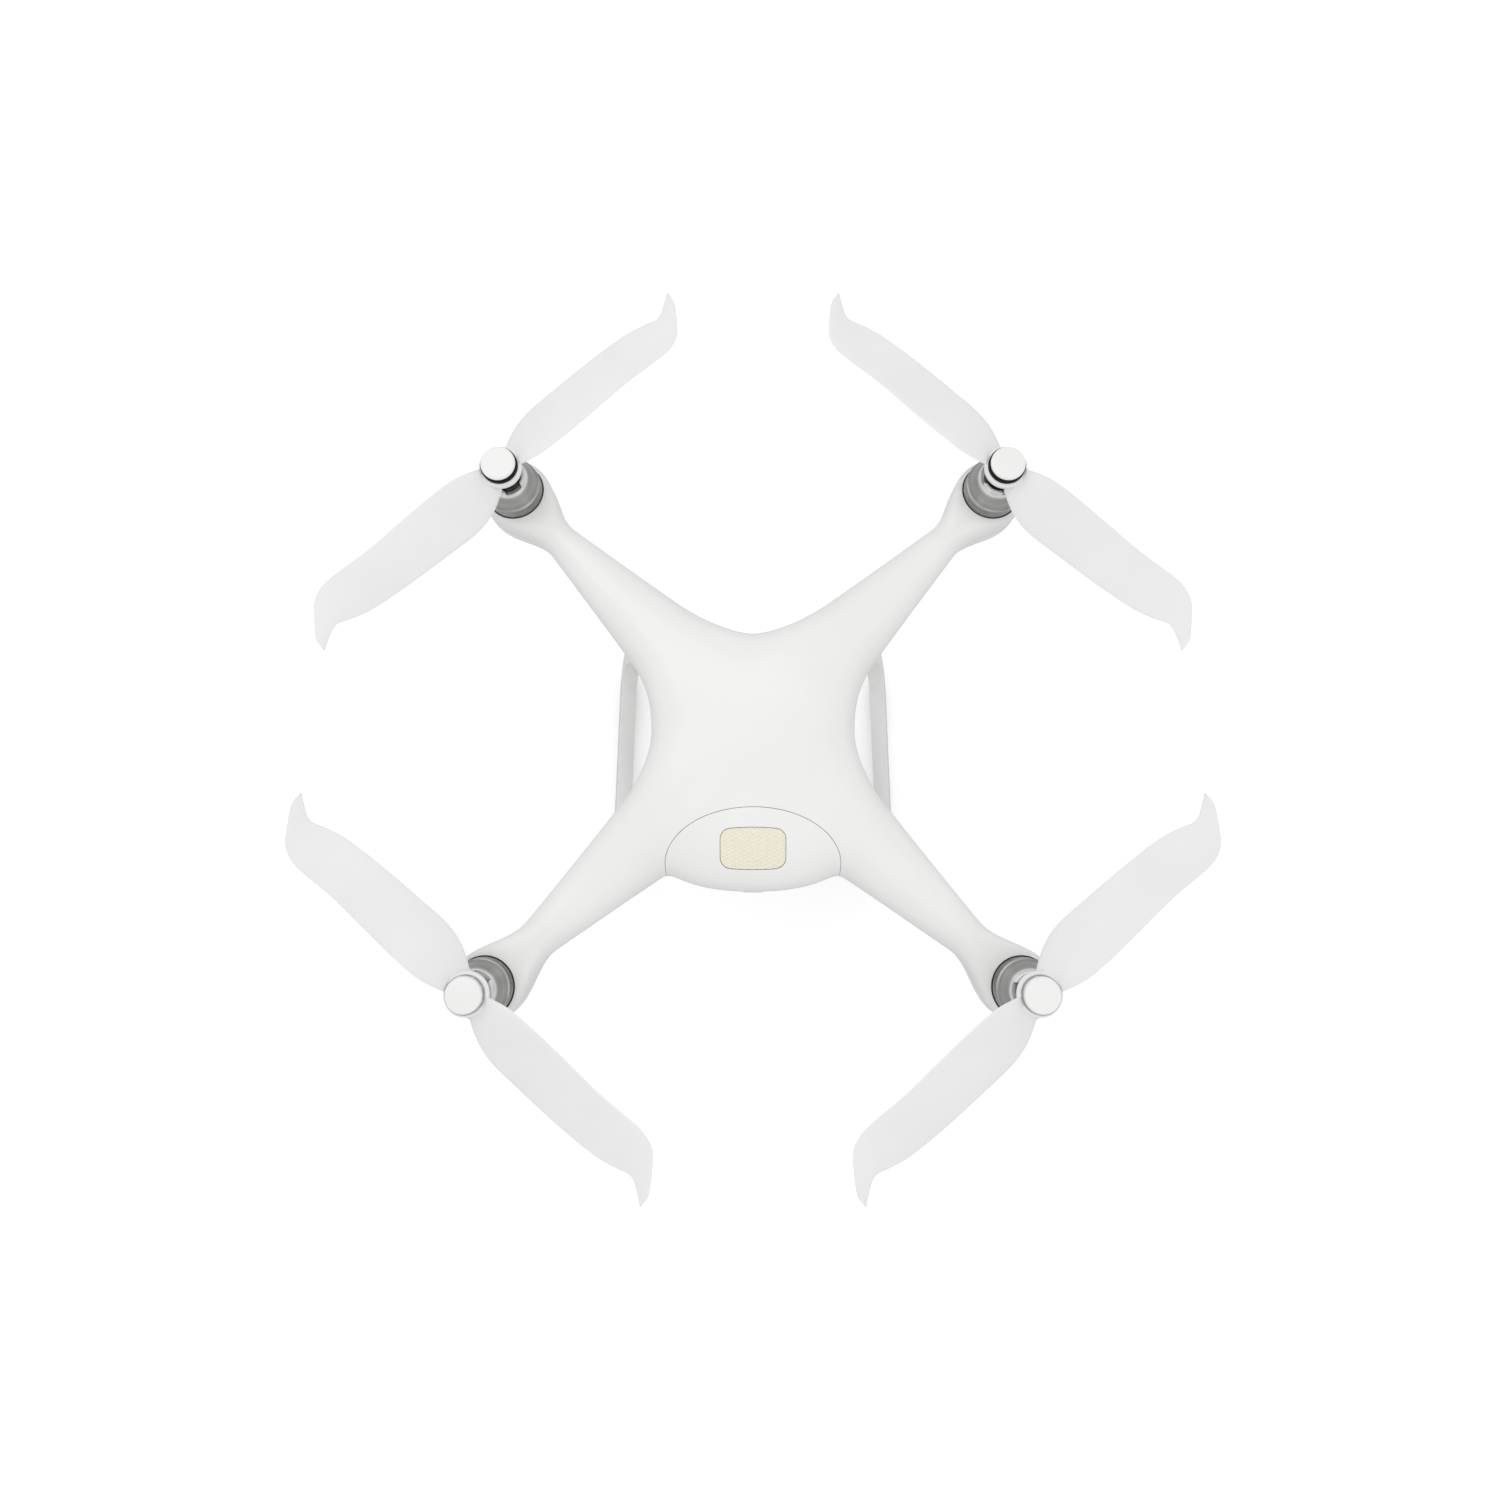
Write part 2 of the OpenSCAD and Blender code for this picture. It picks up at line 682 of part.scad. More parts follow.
module propeller(c) color("whitesmoke") at_motor(c)
  scale([-c.x, c.y, 1]) rotate([0, 0, prop_rest_angle]) difference() {
    union() {
      rotate_extrude() polygon([[0, hub_low], [hub_r, hub_low], [hub_r, hub_high - 3.4],
        [collar_r, hub_high - 2.6], [collar_r, hub_high - 0.5], [collar_r - 0.5, hub_high], [0, hub_high]]);
      blade();
      rotate([0, 0, 180]) blade();
    }
    ring(shaft_r + running_fit, 0, hub_low - 1, hub_high - 2.4);
    ring(collar_r - 0.5, 0, hub_high, ring_top);
  }

module cap_ring(c) color(c.y > 0 ? "black" : "gray") at_motor(c)
  rotate_extrude() polygon([[6, hub_high], [ring_r, hub_high], [ring_r, ring_top - 0.4],
    [ring_r - 0.4, ring_top], [6, ring_top]]);

module hub_cap(c) color("white") at_motor(c) {
  ring(6, 0, hub_high, ring_top);
  rotate_extrude() polygon([[0, ring_top], [ring_r - 0.6, ring_top], [ring_r - 0.6, cap_top - 0.9],
    [ring_r - 1.7, cap_top - 0.2], [0, cap_top]]);
}

// --- Battery -------------------------------------------------------------------------------

pad_y = -58;
button_z = 145;
button_r = 5;
pad_bow_r = 118;

// Column above or below a release pad, whose front and rear edges bow outwards
module pad_column(gap, low, high) {
  translate([0, pad_y, low]) linear_extrude(high - low) intersection() {
    round_rect(pad_w + 2 * gap, pad_l + 2 * gap, 4.5 + gap);
    translate([0, pad_l / 2 - pad_bow_r]) circle(r = pad_bow_r + gap, $fn = 360);
    translate([0, pad_bow_r - pad_l / 2]) circle(r = pad_bow_r + gap, $fn = 360);
  }
}

top_pad_low = 164;
bottom_pad_high = 112;

module battery_cap() color("white") {
  difference() {
    intersection() { body_form(); cap_prism(0); }
    block([-31, -68, 118], [31, -30, 158]);
    pad_column(slide_gap, top_pad_low - pad_travel - 0.4, dome_top + 2);
    pad_column(slide_gap, belly_z - 4, bottom_pad_high + pad_travel + 0.4);
    rod_y(button_r + 0.2, 0, button_z, -rear_edge - 2, -70);
    rotate_about_button() ring(9.2, 6.8, 0, 4);
  }
}

// Puts the +Z axis along +Y with its origin on the rear face at the button
module rotate_about_button() { translate([0, -rear_edge - 0.2, button_z]) rotate([-90, 0, 0]) children(); }

module charge_lights() color("palegreen") {
  rotate_about_button() difference() {
    ring(9.2, 6.8, 0.6, 4);
    for (k = [0:3]) rotate([0, 0, 45 + 90 * k]) block([0, -1, 0], [12, 1, 5]);
  }
}

module power_button() color("gainsboro") rod_y(button_r, 0, button_z, -rear_edge - 0.3, -71);

module battery_case() color("gray") {
  difference() {
    block([-case_half, cap_centre, case_bottom], [case_half, case_front, case_top]);
    cap_prism(0);
    block([-case_half + 1.5, cap_centre - 1, case_bottom + 1.5],
      [case_half - 1.5, case_front - 1.5, case_top - 1.5]);
  }
}

// Four flat cells side by side
module battery_cells() color("steelblue") {
  cell = (2 * case_half - 5) / 4;
  for (k = [0:3]) block([-case_half + 2.2 + k * (cell + 0.2), -36, case_bottom + 2],
    [-case_half + 2.2 + k * (cell + 0.2) + cell, case_front - 4, case_top - 2]);
}

module release_pad_top() color("blanchedalmond") {
  intersection() { body_form(); pad_column(0, top_pad_low, dome_top + 1); }
}

module release_pad_bottom() color("blanchedalmond") {
  intersection() { body_form(); pad_column(0, belly_z - 1, bottom_pad_high); }
}

// --- Gimbal and camera ---------------------------------------------------------------------

damper_places = [for (x = [-17, 17], y = [-15, 15]) [x, gimbal_y + y]];

module gimbal_mount() color("gray") {
  translate([0, gimbal_y, mount_plate_z]) linear_extrude(1.6) round_rect(42, 38, 4);
  for (p = damper_places) translate([p.x, p.y, mount_plate_z]) cylinder(r = 2.6, h = 7.5);
}

module gimbal_dampers() color("black") {
  low = damper_plate_z + 2;
  for (p = damper_places) translate([p.x, p.y, low]) rotate_extrude()
    polygon([[0, 0], [2, 0], [3.4, 1.1], [3.4, 2.3], [2, mount_plate_z - low], [0, mount_plate_z - low]]);
}

module damper_plate() color("gray") {
  translate([0, gimbal_y, damper_plate_z]) linear_extrude(2) round_rect(42, 38, 4);
  translate([0, gimbal_y, 0]) ring(13, 0, yaw_disc_top + 0.3, damper_plate_z);
}

module yaw_arm() color("silver") {
  back = roll_face - 10.4;
  translate([0, gimbal_y, 0]) ring(13, 0, yaw_disc_low, yaw_disc_top);
  block([-6, back, yaw_disc_low], [6, gimbal_y - 10, yaw_disc_top]);
  block([-6, back, camera_z], [6, back + 4, yaw_disc_top]);
  rod_y(11, 0, camera_z, back, roll_face);
}

module roll_arm() color("silver") {
  rod_y(11, 0, camera_z, roll_face + 0.3, roll_front);
  block([5, roll_face + 0.3, camera_z - 6], [28, roll_front, camera_z + 6]);
  block([24, roll_face + 0.3, camera_z - 6], [28, gimbal_y + 6, camera_z + 6]);
  rod_x(10, gimbal_y, camera_z, pitch_face + 0.3, 28);
}

// Camera body with its lens barrel, and the boss on its tilt axis
module camera_body() color("gainsboro") {
  difference() {
    union() {
      translate([-camera_half, gimbal_y, camera_z]) rotate([90, 0, 90])
        linear_extrude(2 * camera_half) round_rect(28, 26, 4);
      rod_y(11, 0, camera_z, gimbal_y, gimbal_y + 18);
      rod_x(6, gimbal_y, camera_z, 0, pitch_face);
    }
    rod_y(9.4, 0, camera_z, gimbal_y + 14.5, gimbal_y + 19);
  }
}

module lens_ring() color("black") {
  difference() {
    rod_y(9.4, 0, camera_z, gimbal_y + 14.5, gimbal_y + 18.6);
    rod_y(7.2, 0, camera_z, gimbal_y + 14, gimbal_y + 19);
  }
}

module camera_lens() color("midnightblue") {
  translate([0, gimbal_y + 14.5, camera_z]) rotate([-90, 0, 0])
    rotate_extrude() polygon([[0, 0], [7.2, 0], [7.2, 1.6], [5, 2.3], [0, 2.8]]);
}

upper_shell();
lower_shell();
battery_tray();
main_board();
power_board();
gps_module();
motor_wires();
shell_screws();
motor_bearings();
motor_screws();
front_light_covers();
rear_light_covers();
left_skid();
right_skid();
skid_pads();
front_sensors();
belly_sensors();
gimbal_mount();
gimbal_dampers();
damper_plate();
stator(FL);  // stator_fl
stator(FR);  // stator_fr
stator(RL);  // stator_rl
stator(RR);  // stator_rr
bell(FL);  // bell_fl
bell(FR);  // bell_fr
bell(RL);  // bell_rl
bell(RR);  // bell_rr
shaft(FL);  // shaft_fl
shaft(FR);  // shaft_fr
shaft(RL);  // shaft_rl
shaft(RR);  // shaft_rr
prop_mount(FL);  // prop_mount_fl
prop_mount(FR);  // prop_mount_fr
prop_mount(RL);  // prop_mount_rl
prop_mount(RR);  // prop_mount_rr
propeller(FL);  // propeller_fl
propeller(FR);  // propeller_fr
propeller(RL);  // propeller_rl
propeller(RR);  // propeller_rr
hub_cap(FL);  // hub_cap_fl
hub_cap(FR);  // hub_cap_fr
hub_cap(RL);  // hub_cap_rl
hub_cap(RR);  // hub_cap_rr
cap_ring(FL);  // cap_ring_fl
cap_ring(FR);  // cap_ring_fr
cap_ring(RL);  // cap_ring_rl
cap_ring(RR);  // cap_ring_rr
battery_cap();
battery_case();
battery_cells();
release_pad_top();
release_pad_bottom();
power_button();
charge_lights();
yaw_arm();
roll_arm();
camera_body();
camera_lens();
lens_ring();
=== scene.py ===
"""Quadcopter camera drone: the looks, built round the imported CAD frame.

Lengths named in this file are millimetres unless a name or comment says otherwise, and MM turns
them into Blender's metres. +Y is the drone's front, +X its right and +Z up.
"""
import json
import math

import bmesh
import bpy
import numpy as np
from mathutils import Matrix, Vector
from mathutils.bvhtree import BVHTree


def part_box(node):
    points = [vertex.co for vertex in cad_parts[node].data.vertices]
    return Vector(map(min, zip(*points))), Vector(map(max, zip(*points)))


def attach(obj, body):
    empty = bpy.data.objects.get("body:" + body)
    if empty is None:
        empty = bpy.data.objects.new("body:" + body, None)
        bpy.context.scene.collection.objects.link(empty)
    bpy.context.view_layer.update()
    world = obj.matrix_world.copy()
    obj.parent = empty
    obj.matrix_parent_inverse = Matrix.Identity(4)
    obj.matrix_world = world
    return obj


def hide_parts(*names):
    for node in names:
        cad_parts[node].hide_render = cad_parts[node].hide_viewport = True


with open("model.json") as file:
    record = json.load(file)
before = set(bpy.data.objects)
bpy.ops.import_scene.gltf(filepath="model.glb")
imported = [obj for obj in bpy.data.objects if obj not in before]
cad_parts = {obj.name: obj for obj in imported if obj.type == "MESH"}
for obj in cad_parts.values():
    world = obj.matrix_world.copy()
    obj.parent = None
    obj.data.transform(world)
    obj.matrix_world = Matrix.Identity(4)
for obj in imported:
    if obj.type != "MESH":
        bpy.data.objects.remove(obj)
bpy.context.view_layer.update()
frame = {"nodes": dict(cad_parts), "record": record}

MM = 0.001
CORNERS = ("fl", "fr", "rl", "rr")
SIGN = {"fl": (-1, 1), "fr": (1, 1), "rl": (-1, -1), "rr": (1, -1)}


# --- Camera, floor and light ---------------------------------------------------------------

# The photograph's viewpoint: above the drone, a little behind the middle, tilted forwards
CAMERA_PLACE = (0.0, -70.9, 623.3)
CAMERA_TILT = 7.56
CAMERA_LENS = 22.8
CAMERA_SHIFT = -0.002
# Strength of the white surroundings at the horizon and overhead
HORIZON_LIGHT = 1.05
ZENITH_LIGHT = 0.64
# The floor's half width in metres, its glow, and how pale it is to everything but the camera
FLOOR_HALF = 6.0
FLOOR_GLOW = 0.36
FLOOR_BOUNCE = 0.7
# Name, place and size in metres, and power in watts
LIGHTS = (
    ("key_light", (-0.5, 0.6, 1.6), 1.4, 6),
    ("fill_light", (0.6, -0.5, 1.5), 1.6, 4),
)
LIGHT_TARGET = (0, 0, 0.1)


def set_inputs(node, **values):
    """Sets a node's sockets by name, with an underscore for each space."""
    for key, value in values.items():
        node.inputs[key.replace("_", " ")].default_value = value


def add_camera():
    """The camera at the photograph's viewing angle."""
    data = bpy.data.cameras.new("camera")
    data.lens = CAMERA_LENS
    data.shift_x = CAMERA_SHIFT
    data.clip_start = 0.01
    data.clip_end = 50
    camera = bpy.data.objects.new("camera", data)
    camera.location = [v * MM for v in CAMERA_PLACE]
    camera.rotation_euler = (math.radians(CAMERA_TILT), 0, 0)
    bpy.context.scene.collection.objects.link(camera)
    bpy.context.scene.camera = camera


def add_area_light(name, place, size, power):
    """A soft square light that faces the drone."""
    data = bpy.data.lights.new(name, "AREA")
    data.shape = "SQUARE"
    data.size = size
    data.energy = power
    light = bpy.data.objects.new(name, data)
    light.location = place
    light.rotation_euler = (Vector(LIGHT_TARGET) - Vector(place)).to_track_quat("-Z", "Y").to_euler()
    bpy.context.scene.collection.objects.link(light)


def add_surroundings():
    """White surroundings, brightest at the horizon."""
    world = bpy.data.worlds.new("studio")
    bpy.context.scene.world = world
    world.use_nodes = True
    tree = world.node_tree
    parts = tree.nodes.new("ShaderNodeSeparateXYZ")
    tree.links.new(tree.nodes.new("ShaderNodeTexCoord").outputs["Generated"], parts.inputs[0])
    fade = tree.nodes.new("ShaderNodeMapRange")
    set_inputs(fade, From_Min=0.0, From_Max=1.0, To_Min=HORIZON_LIGHT, To_Max=ZENITH_LIGHT)
    tree.links.new(parts.outputs["Z"], fade.inputs["Value"])
    tree.links.new(fade.outputs["Result"], tree.nodes["Background"].inputs["Strength"])
    set_inputs(tree.nodes["Background"], Color=(1.0, 1.0, 1.0, 1.0))


def add_floor():
    """A plain pale floor."""
    corners = [(x * FLOOR_HALF, y * FLOOR_HALF, 0) for x, y in ((-1, -1), (1, -1), (1, 1), (-1, 1))]
    mesh = bpy.data.meshes.new("floor")
    mesh.from_pydata(corners, [], [(0, 1, 2, 3)])
    floor = bpy.data.objects.new("floor", mesh)
    bpy.context.scene.collection.objects.link(floor)
    floor.data.materials.append(floor_material())


def add_studio():
    """Surroundings, soft lights above and a floor, shown with plain colours."""
    add_surroundings()
    for light in LIGHTS:
        add_area_light(*light)
    add_floor()
    scene = bpy.context.scene
    scene.view_settings.view_transform = "Standard"
    scene.view_settings.look = "None"


# --- Materials -----------------------------------------------------------------------------

class Nodes:
    """A short way to build a material's node tree."""

    def __init__(self, name):
        self.material = bpy.data.materials.new(name)
        self.material.use_nodes = True
        self.tree = self.material.node_tree
        self.shader = self.tree.nodes["Principled BSDF"]
        self.coords = self.tree.nodes.new("ShaderNodeTexCoord").outputs["Object"]

    def add(self, kind, **settings):
        node = self.tree.nodes.new(kind)
        for key, value in settings.items():
            setattr(node, key, value)
        return node

    def link(self, source, target):
        self.tree.links.new(source, target)

    def constants(self, **values):
        """Sets numbers and colours on the shader's own sockets."""
        set_inputs(self.shader, **values)

    def scaled(self, scale):
        """Object coordinates stretched by a scale along each axis."""
        node = self.add("ShaderNodeVectorMath", operation="MULTIPLY")
        self.link(self.coords, node.inputs[0])
        node.inputs[1].default_value = scale
        return node.outputs["Vector"]

    def noise(self, scale, detail=3.0, vector=None, rough=0.5):
        node = self.add("ShaderNodeTexNoise")
        set_inputs(node, Scale=scale, Detail=detail, Roughness=rough)
        self.link(vector or self.coords, node.inputs["Vector"])
        return node.outputs["Fac"]

    def ramp(self, factor, low, high, start=0.3, end=0.7):
        """Turns a factor into a number between low and high."""
        node = self.add("ShaderNodeMapRange")
        node.clamp = True
        set_inputs(node, From_Min=start, From_Max=end, To_Min=low, To_Max=high)
        self.link(factor, node.inputs["Value"])
        return node.outputs["Result"]

    def blend(self, factor, first, second):
        """Mixes two colours by a factor."""
        node = self.add("ShaderNodeMix", data_type="RGBA")
        self.link(factor, node.inputs["Factor"])
        for key, value in (("A", first), ("B", second)):
            socket = [s for s in node.inputs if s.name == key and s.type == "RGBA"][0]
            if isinstance(value, tuple):
                socket.default_value = (*value, 1)
            else:
                self.link(value, socket)
        return [s for s in node.outputs if s.type == "RGBA"][0]

    def math(self, operation, first, second=None):
        node = self.add("ShaderNodeMath", operation=operation)
        for socket, value in zip(node.inputs, (first, second)):
            if isinstance(value, (int, float)):
                socket.default_value = value
            elif value is not None:
                self.link(value, socket)
        return node.outputs["Value"]

    def edges(self, low=0.52, high=0.6):
        """1 on worn outer edges and 0 elsewhere."""
        geometry = self.add("ShaderNodeNewGeometry")
        return self.ramp(geometry.outputs["Pointiness"], 0.0, 1.0, low, high)

    def bump(self, *layers):
        """Stacks bump layers, each (height, depth in metres)."""
        normal = None
        for height, depth in layers:
            node = self.add("ShaderNodeBump")
            set_inputs(node, Strength=1.0, Distance=depth)
            self.link(height, node.inputs["Height"])
            if normal is not None:
                self.link(normal, node.inputs["Normal"])
            normal = node.outputs["Normal"]
        self.link(normal, self.shader.inputs["Normal"])

    def color(self, socket):
        self.link(socket, self.shader.inputs["Base Color"])

    def roughness(self, socket):
        self.link(socket, self.shader.inputs["Roughness"])


def floor_material():
    """Pale paper that glows a little to the camera, and throws less light back on the drone."""
    n = Nodes("pale_floor")
    seen = n.add("ShaderNodeLightPath").outputs["Is Camera Ray"]
    paper = n.blend(n.noise(3.0), (0.79, 0.79, 0.79), (0.81, 0.81, 0.81))
    n.color(n.blend(seen, (FLOOR_BOUNCE,) * 3, paper))
    n.link(n.ramp(seen, 0.0, FLOOR_GLOW, 0.0, 1.0), n.shader.inputs["Emission Strength"])
    n.constants(Roughness=0.9, Specular_IOR_Level=0.1, Emission_Color=(1.0, 1.0, 1.0, 1.0))
    return n.material


def glossy_plastic(name, light, dark):
    """Moulded plastic under a thin clear skin: faint flow marks, fine grain and wiped patches."""
    n = Nodes(name)
    flow = n.noise(14.0, 4.0)
    speck = n.noise(900.0, 2.0)
    tint = n.blend(n.ramp(flow, 0.0, 1.0), light, dark)
    n.color(n.blend(n.ramp(speck, 0.0, 0.06), tint, tuple(0.9 * v for v in dark)))
    wiped = n.noise(1.0, 2.0, n.scaled((60.0, 25.0, 40.0)))
    n.roughness(n.math("ADD", n.ramp(flow, 0.29, 0.33), n.ramp(wiped, 0.0, 0.04)))
    n.constants(Coat_Weight=0.2, Coat_Roughness=0.08, IOR=1.48)
    n.bump((n.noise(160.0, 2.0), 0.000012), (n.noise(2600.0, 2.0), 0.000002))
    return n.material


def satin_plastic(name, light, dark, rough, grain=1.0, shine=0.5):
    """Fine spark-eroded plastic, with edges polished brighter by handling."""
    n = Nodes(name)
    cloud = n.noise(30.0, 4.0)
    base = n.blend(n.ramp(cloud, 0.0, 1.0), light, dark)
    worn = tuple(min(1.0, 1.25 * v + 0.02) for v in light)
    n.color(n.blend(n.math("MULTIPLY", n.edges(), 0.5), base, worn))
    pits = n.noise(1800.0, 3.0)
    n.roughness(n.math("ADD", n.ramp(cloud, rough - 0.05, rough + 0.05), n.ramp(pits, 0.0, 0.08)))
    n.constants(IOR=1.47, Specular_IOR_Level=shine)
    n.bump((pits, 0.000014 * grain), (n.noise(240.0, 2.0), 0.00001 * grain))
    return n.material


def turned_metal(name, light, dark, rough=0.3, ring_scale=9000.0, polish_and_highlight_above=None):
    """Lathe-turned metal: fine marks round the axis, darker patches and bright edges.

    Above a given height, if one is given, the metal is lighter: partly polish, partly a painted highlight
    round the lock ring.
    """
    n = Nodes(name)
    parts = n.add("ShaderNodeSeparateXYZ")
    n.link(n.coords, parts.inputs[0])
    squares = [n.math("POWER", parts.outputs[axis], 2.0) for axis in "XY"]
    radius = n.math("POWER", n.math("ADD", *squares), 0.5)
    line = n.add("ShaderNodeCombineXYZ")
    n.link(n.math("ADD", radius, parts.outputs["Z"]), line.inputs["X"])
    marks = n.noise(ring_scale, 4.0, line.outputs["Vector"], 0.7)
    bands = n.noise(ring_scale / 9, 2.0, line.outputs["Vector"])
    cloud = n.noise(120.0, 4.0)
    tone = n.blend(n.ramp(bands, 0.0, 1.0), light, dark)
    tone = n.blend(n.ramp(cloud, 0.0, 0.25), tone, tuple(0.7 * v for v in dark))
    bright = tuple(min(1.0, 1.3 * v) for v in light)
    # Lighter metal above a height: partly polish, partly a painted highlight on the lock ring
    if polish_and_highlight_above:
        start = polish_and_highlight_above * MM
        polished_and_highlight_tone = tuple(min(1.0, 1.75 * v) for v in light)
        tone = n.blend(n.ramp(parts.outputs["Z"], 0.0, 1.0, start, start + 1.2 * MM), tone, polished_and_highlight_tone)
    n.color(n.blend(n.edges(), tone, bright))
    n.roughness(n.math("ADD", n.ramp(marks, rough - 0.08, rough + 0.1), n.ramp(cloud, 0.0, 0.06)))
    n.constants(Metallic=1.0, Anisotropic=0.4)
    n.bump((marks, 0.000012))
    return n.material


def blasted_metal(name, light, dark, rough=0.42):
    """Bead-blasted metal with bright worn edges."""
    n = Nodes(name)
    cloud = n.noise(60.0, 4.0)
    tone = n.blend(n.ramp(cloud, 0.0, 1.0), light, dark)
    n.color(n.blend(n.edges(), tone, tuple(min(1.0, 1.25 * v) for v in light)))
    pits = n.noise(2200.0, 3.0)
    n.roughness(n.ramp(pits, rough - 0.06, rough + 0.1))
    n.constants(Metallic=1.0)
    n.bump((pits, 0.000015))
    return n.material


def rubber(name, tone):
    """Soft rubber with dusty patches."""
    n = Nodes(name)
    dust = n.noise(90.0, 5.0)
    n.color(n.blend(n.ramp(dust, 0.0, 0.5), tone, tuple(0.6 * v + 0.18 for v in tone)))
    n.roughness(n.ramp(dust, 0.7, 0.9))
    n.bump((n.noise(1400.0, 3.0), 0.00003))
    return n.material


def board_material():
    """Green solder mask with paler tracks and pads."""
    n = Nodes("circuit_board")
    brick = n.add("ShaderNodeTexBrick")
    set_inputs(brick, Scale=260.0, Mortar_Size=0.08)
    n.link(n.coords, brick.inputs["Vector"])
    mask = n.blend(n.ramp(n.noise(40.0, 3.0), 0.0, 1.0), (0.02, 0.12, 0.05), (0.03, 0.17, 0.08))
    n.color(n.blend(brick.outputs["Fac"], mask, (0.12, 0.30, 0.14)))
    n.roughness(n.ramp(n.noise(600.0), 0.25, 0.4))
    n.bump((brick.outputs["Fac"], 0.00003))
    return n.material


def winding_material():
    """Enamelled copper turns on a dark laminated core."""
    n = Nodes("motor_winding")
    wave = n.add("ShaderNodeTexWave", wave_type="BANDS", bands_direction="Z")
    set_inputs(wave, Scale=420.0, Distortion=0.6)
    n.link(n.coords, wave.inputs["Vector"])
    copper = n.blend(n.noise(200.0), (0.72, 0.33, 0.12), (0.5, 0.2, 0.06))
    n.color(n.blend(n.ramp(wave.outputs["Fac"], 0.0, 1.0), (0.1, 0.06, 0.04), copper))
    n.roughness(n.ramp(wave.outputs["Fac"], 0.5, 0.25))
    n.constants(Metallic=0.8)
    n.bump((wave.outputs["Fac"], 0.00008))
    return n.material


def frosted_cover(name, tone):
    """Frosted light cover: milky, slightly see-through plastic with a fine prism pattern."""
    n = Nodes(name)
    cells = n.add("ShaderNodeTexVoronoi")
    set_inputs(cells, Scale=900.0)
    n.link(n.coords, cells.inputs["Vector"])
    n.color(n.blend(n.ramp(cells.outputs["Distance"], 0.0, 0.6), tone, tuple(0.8 * v for v in tone)))
    n.roughness(n.ramp(n.noise(70.0), 0.25, 0.4))
    n.constants(Transmission_Weight=0.25, IOR=1.45)
    n.bump((cells.outputs["Distance"], 0.00004))
    return n.material


def lens_glass():
    """Dark coated lens glass with dust, and a faint violet painted reflection of its coating, stronger
    towards grazing angles.
    """
    n = Nodes("lens_glass")
    painted_reflection_facing = n.add("ShaderNodeLayerWeight")
    set_inputs(painted_reflection_facing, Blend=0.35)
    # Painted reflection: the coating's violet tint laid into the colour towards grazing angles
    n.color(n.blend(painted_reflection_facing.outputs["Facing"], (0.006, 0.006, 0.014), (0.10, 0.05, 0.20)))
    n.roughness(n.ramp(n.noise(300.0, 4.0), 0.03, 0.10, 0.5, 0.8))
    n.constants(Coat_Weight=1.0, Coat_Roughness=0.02, IOR=1.52)
    n.bump((n.noise(40.0), 0.000002))
    return n.material


def make_materials():
    """One material for each of the record's slots."""
    return {
        "white_shell": glossy_plastic("white_shell", (0.84, 0.84, 0.832), (0.81, 0.81, 0.802)),
        "prop_white": satin_plastic("prop_white", (0.80, 0.80, 0.805), (0.77, 0.77, 0.775), 0.38, 0.6),
        "ivory_pad": satin_plastic("ivory_pad", (0.85, 0.805, 0.69), (0.82, 0.77, 0.65), 0.5, 1.4),
        "motor_metal": turned_metal("motor_metal", (0.50, 0.50, 0.49), (0.34, 0.34, 0.335),
                                    polish_and_highlight_above=LOCK_RING_POLISH_AND_HIGHLIGHT),
        "gimbal_metal": blasted_metal("gimbal_metal", (0.60, 0.61, 0.62), (0.52, 0.53, 0.54)),
        "steel": turned_metal("steel", (0.62, 0.62, 0.64), (0.5, 0.5, 0.52), 0.25),
        "motor_winding": winding_material(),
        "black_plastic": satin_plastic("black_plastic", (0.018, 0.018, 0.019), (0.012, 0.012, 0.013), 0.4,
                                       shine=0.3),
        "black_ring": satin_plastic("black_ring", (0.006, 0.006, 0.006), (0.004, 0.004, 0.004), 0.4, 0.6,
                                    shine=0.1),
        "grey_ring": turned_metal("grey_ring", (0.42, 0.42, 0.44), (0.33, 0.33, 0.35), 0.3, 5000.0),
        "grey_plastic": satin_plastic("grey_plastic", (0.10, 0.105, 0.11), (0.08, 0.085, 0.09), 0.5),
        "circuit_board": board_material(),
        "ceramic": satin_plastic("ceramic", (0.60, 0.52, 0.38), (0.54, 0.46, 0.33), 0.55),
        "wire_jacket": rubber("wire_jacket", (0.02, 0.02, 0.02)),
        "front_light": frosted_cover("front_light", (0.80, 0.42, 0.40)),
        "rear_light": frosted_cover("rear_light", (0.50, 0.75, 0.52)),
        "rubber_pad": rubber("rubber_pad", (0.10, 0.10, 0.10)),
        "cell_foil": satin_plastic("cell_foil", (0.16, 0.24, 0.42), (0.12, 0.2, 0.36), 0.35),
        "button_grey": satin_plastic("button_grey", (0.62, 0.62, 0.62), (0.57, 0.57, 0.57), 0.35),
        "charge_light": frosted_cover("charge_light", (0.62, 0.80, 0.64)),
        "camera_grey": satin_plastic("camera_grey", (0.52, 0.53, 0.54), (0.47, 0.48, 0.49), 0.45),
        "lens_glass": lens_glass(),
    }


# --- Mesh helpers --------------------------------------------------------------------------

NODE_SLOT = {s["node"]: s["material_slot"] for s in frame["record"]["subparts"]}
NODE_BODY = {n: b for b, ns in frame["record"]["behaviour"]["bodies"].items() for n in ns}
# Edges sharper than these are shaded as edges, and rounded. Faces flatter than the last are joined
SHARP_ANGLE = math.radians(38)
ROUNDED_ANGLE = math.radians(35)
FLAT_ANGLE = math.radians(0.5)


def middle(node):
    """Centre of a CAD node's box, in millimetres."""
    low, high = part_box(node)
    return [(a + b) / 2 / MM for a, b in zip(low, high)]


def top_of(node):
    """Height of a CAD node's top, in millimetres."""
    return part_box(node)[1][2] / MM


def bottom_of(node):
    """Height of a CAD node's underside, in millimetres."""
    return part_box(node)[0][2] / MM


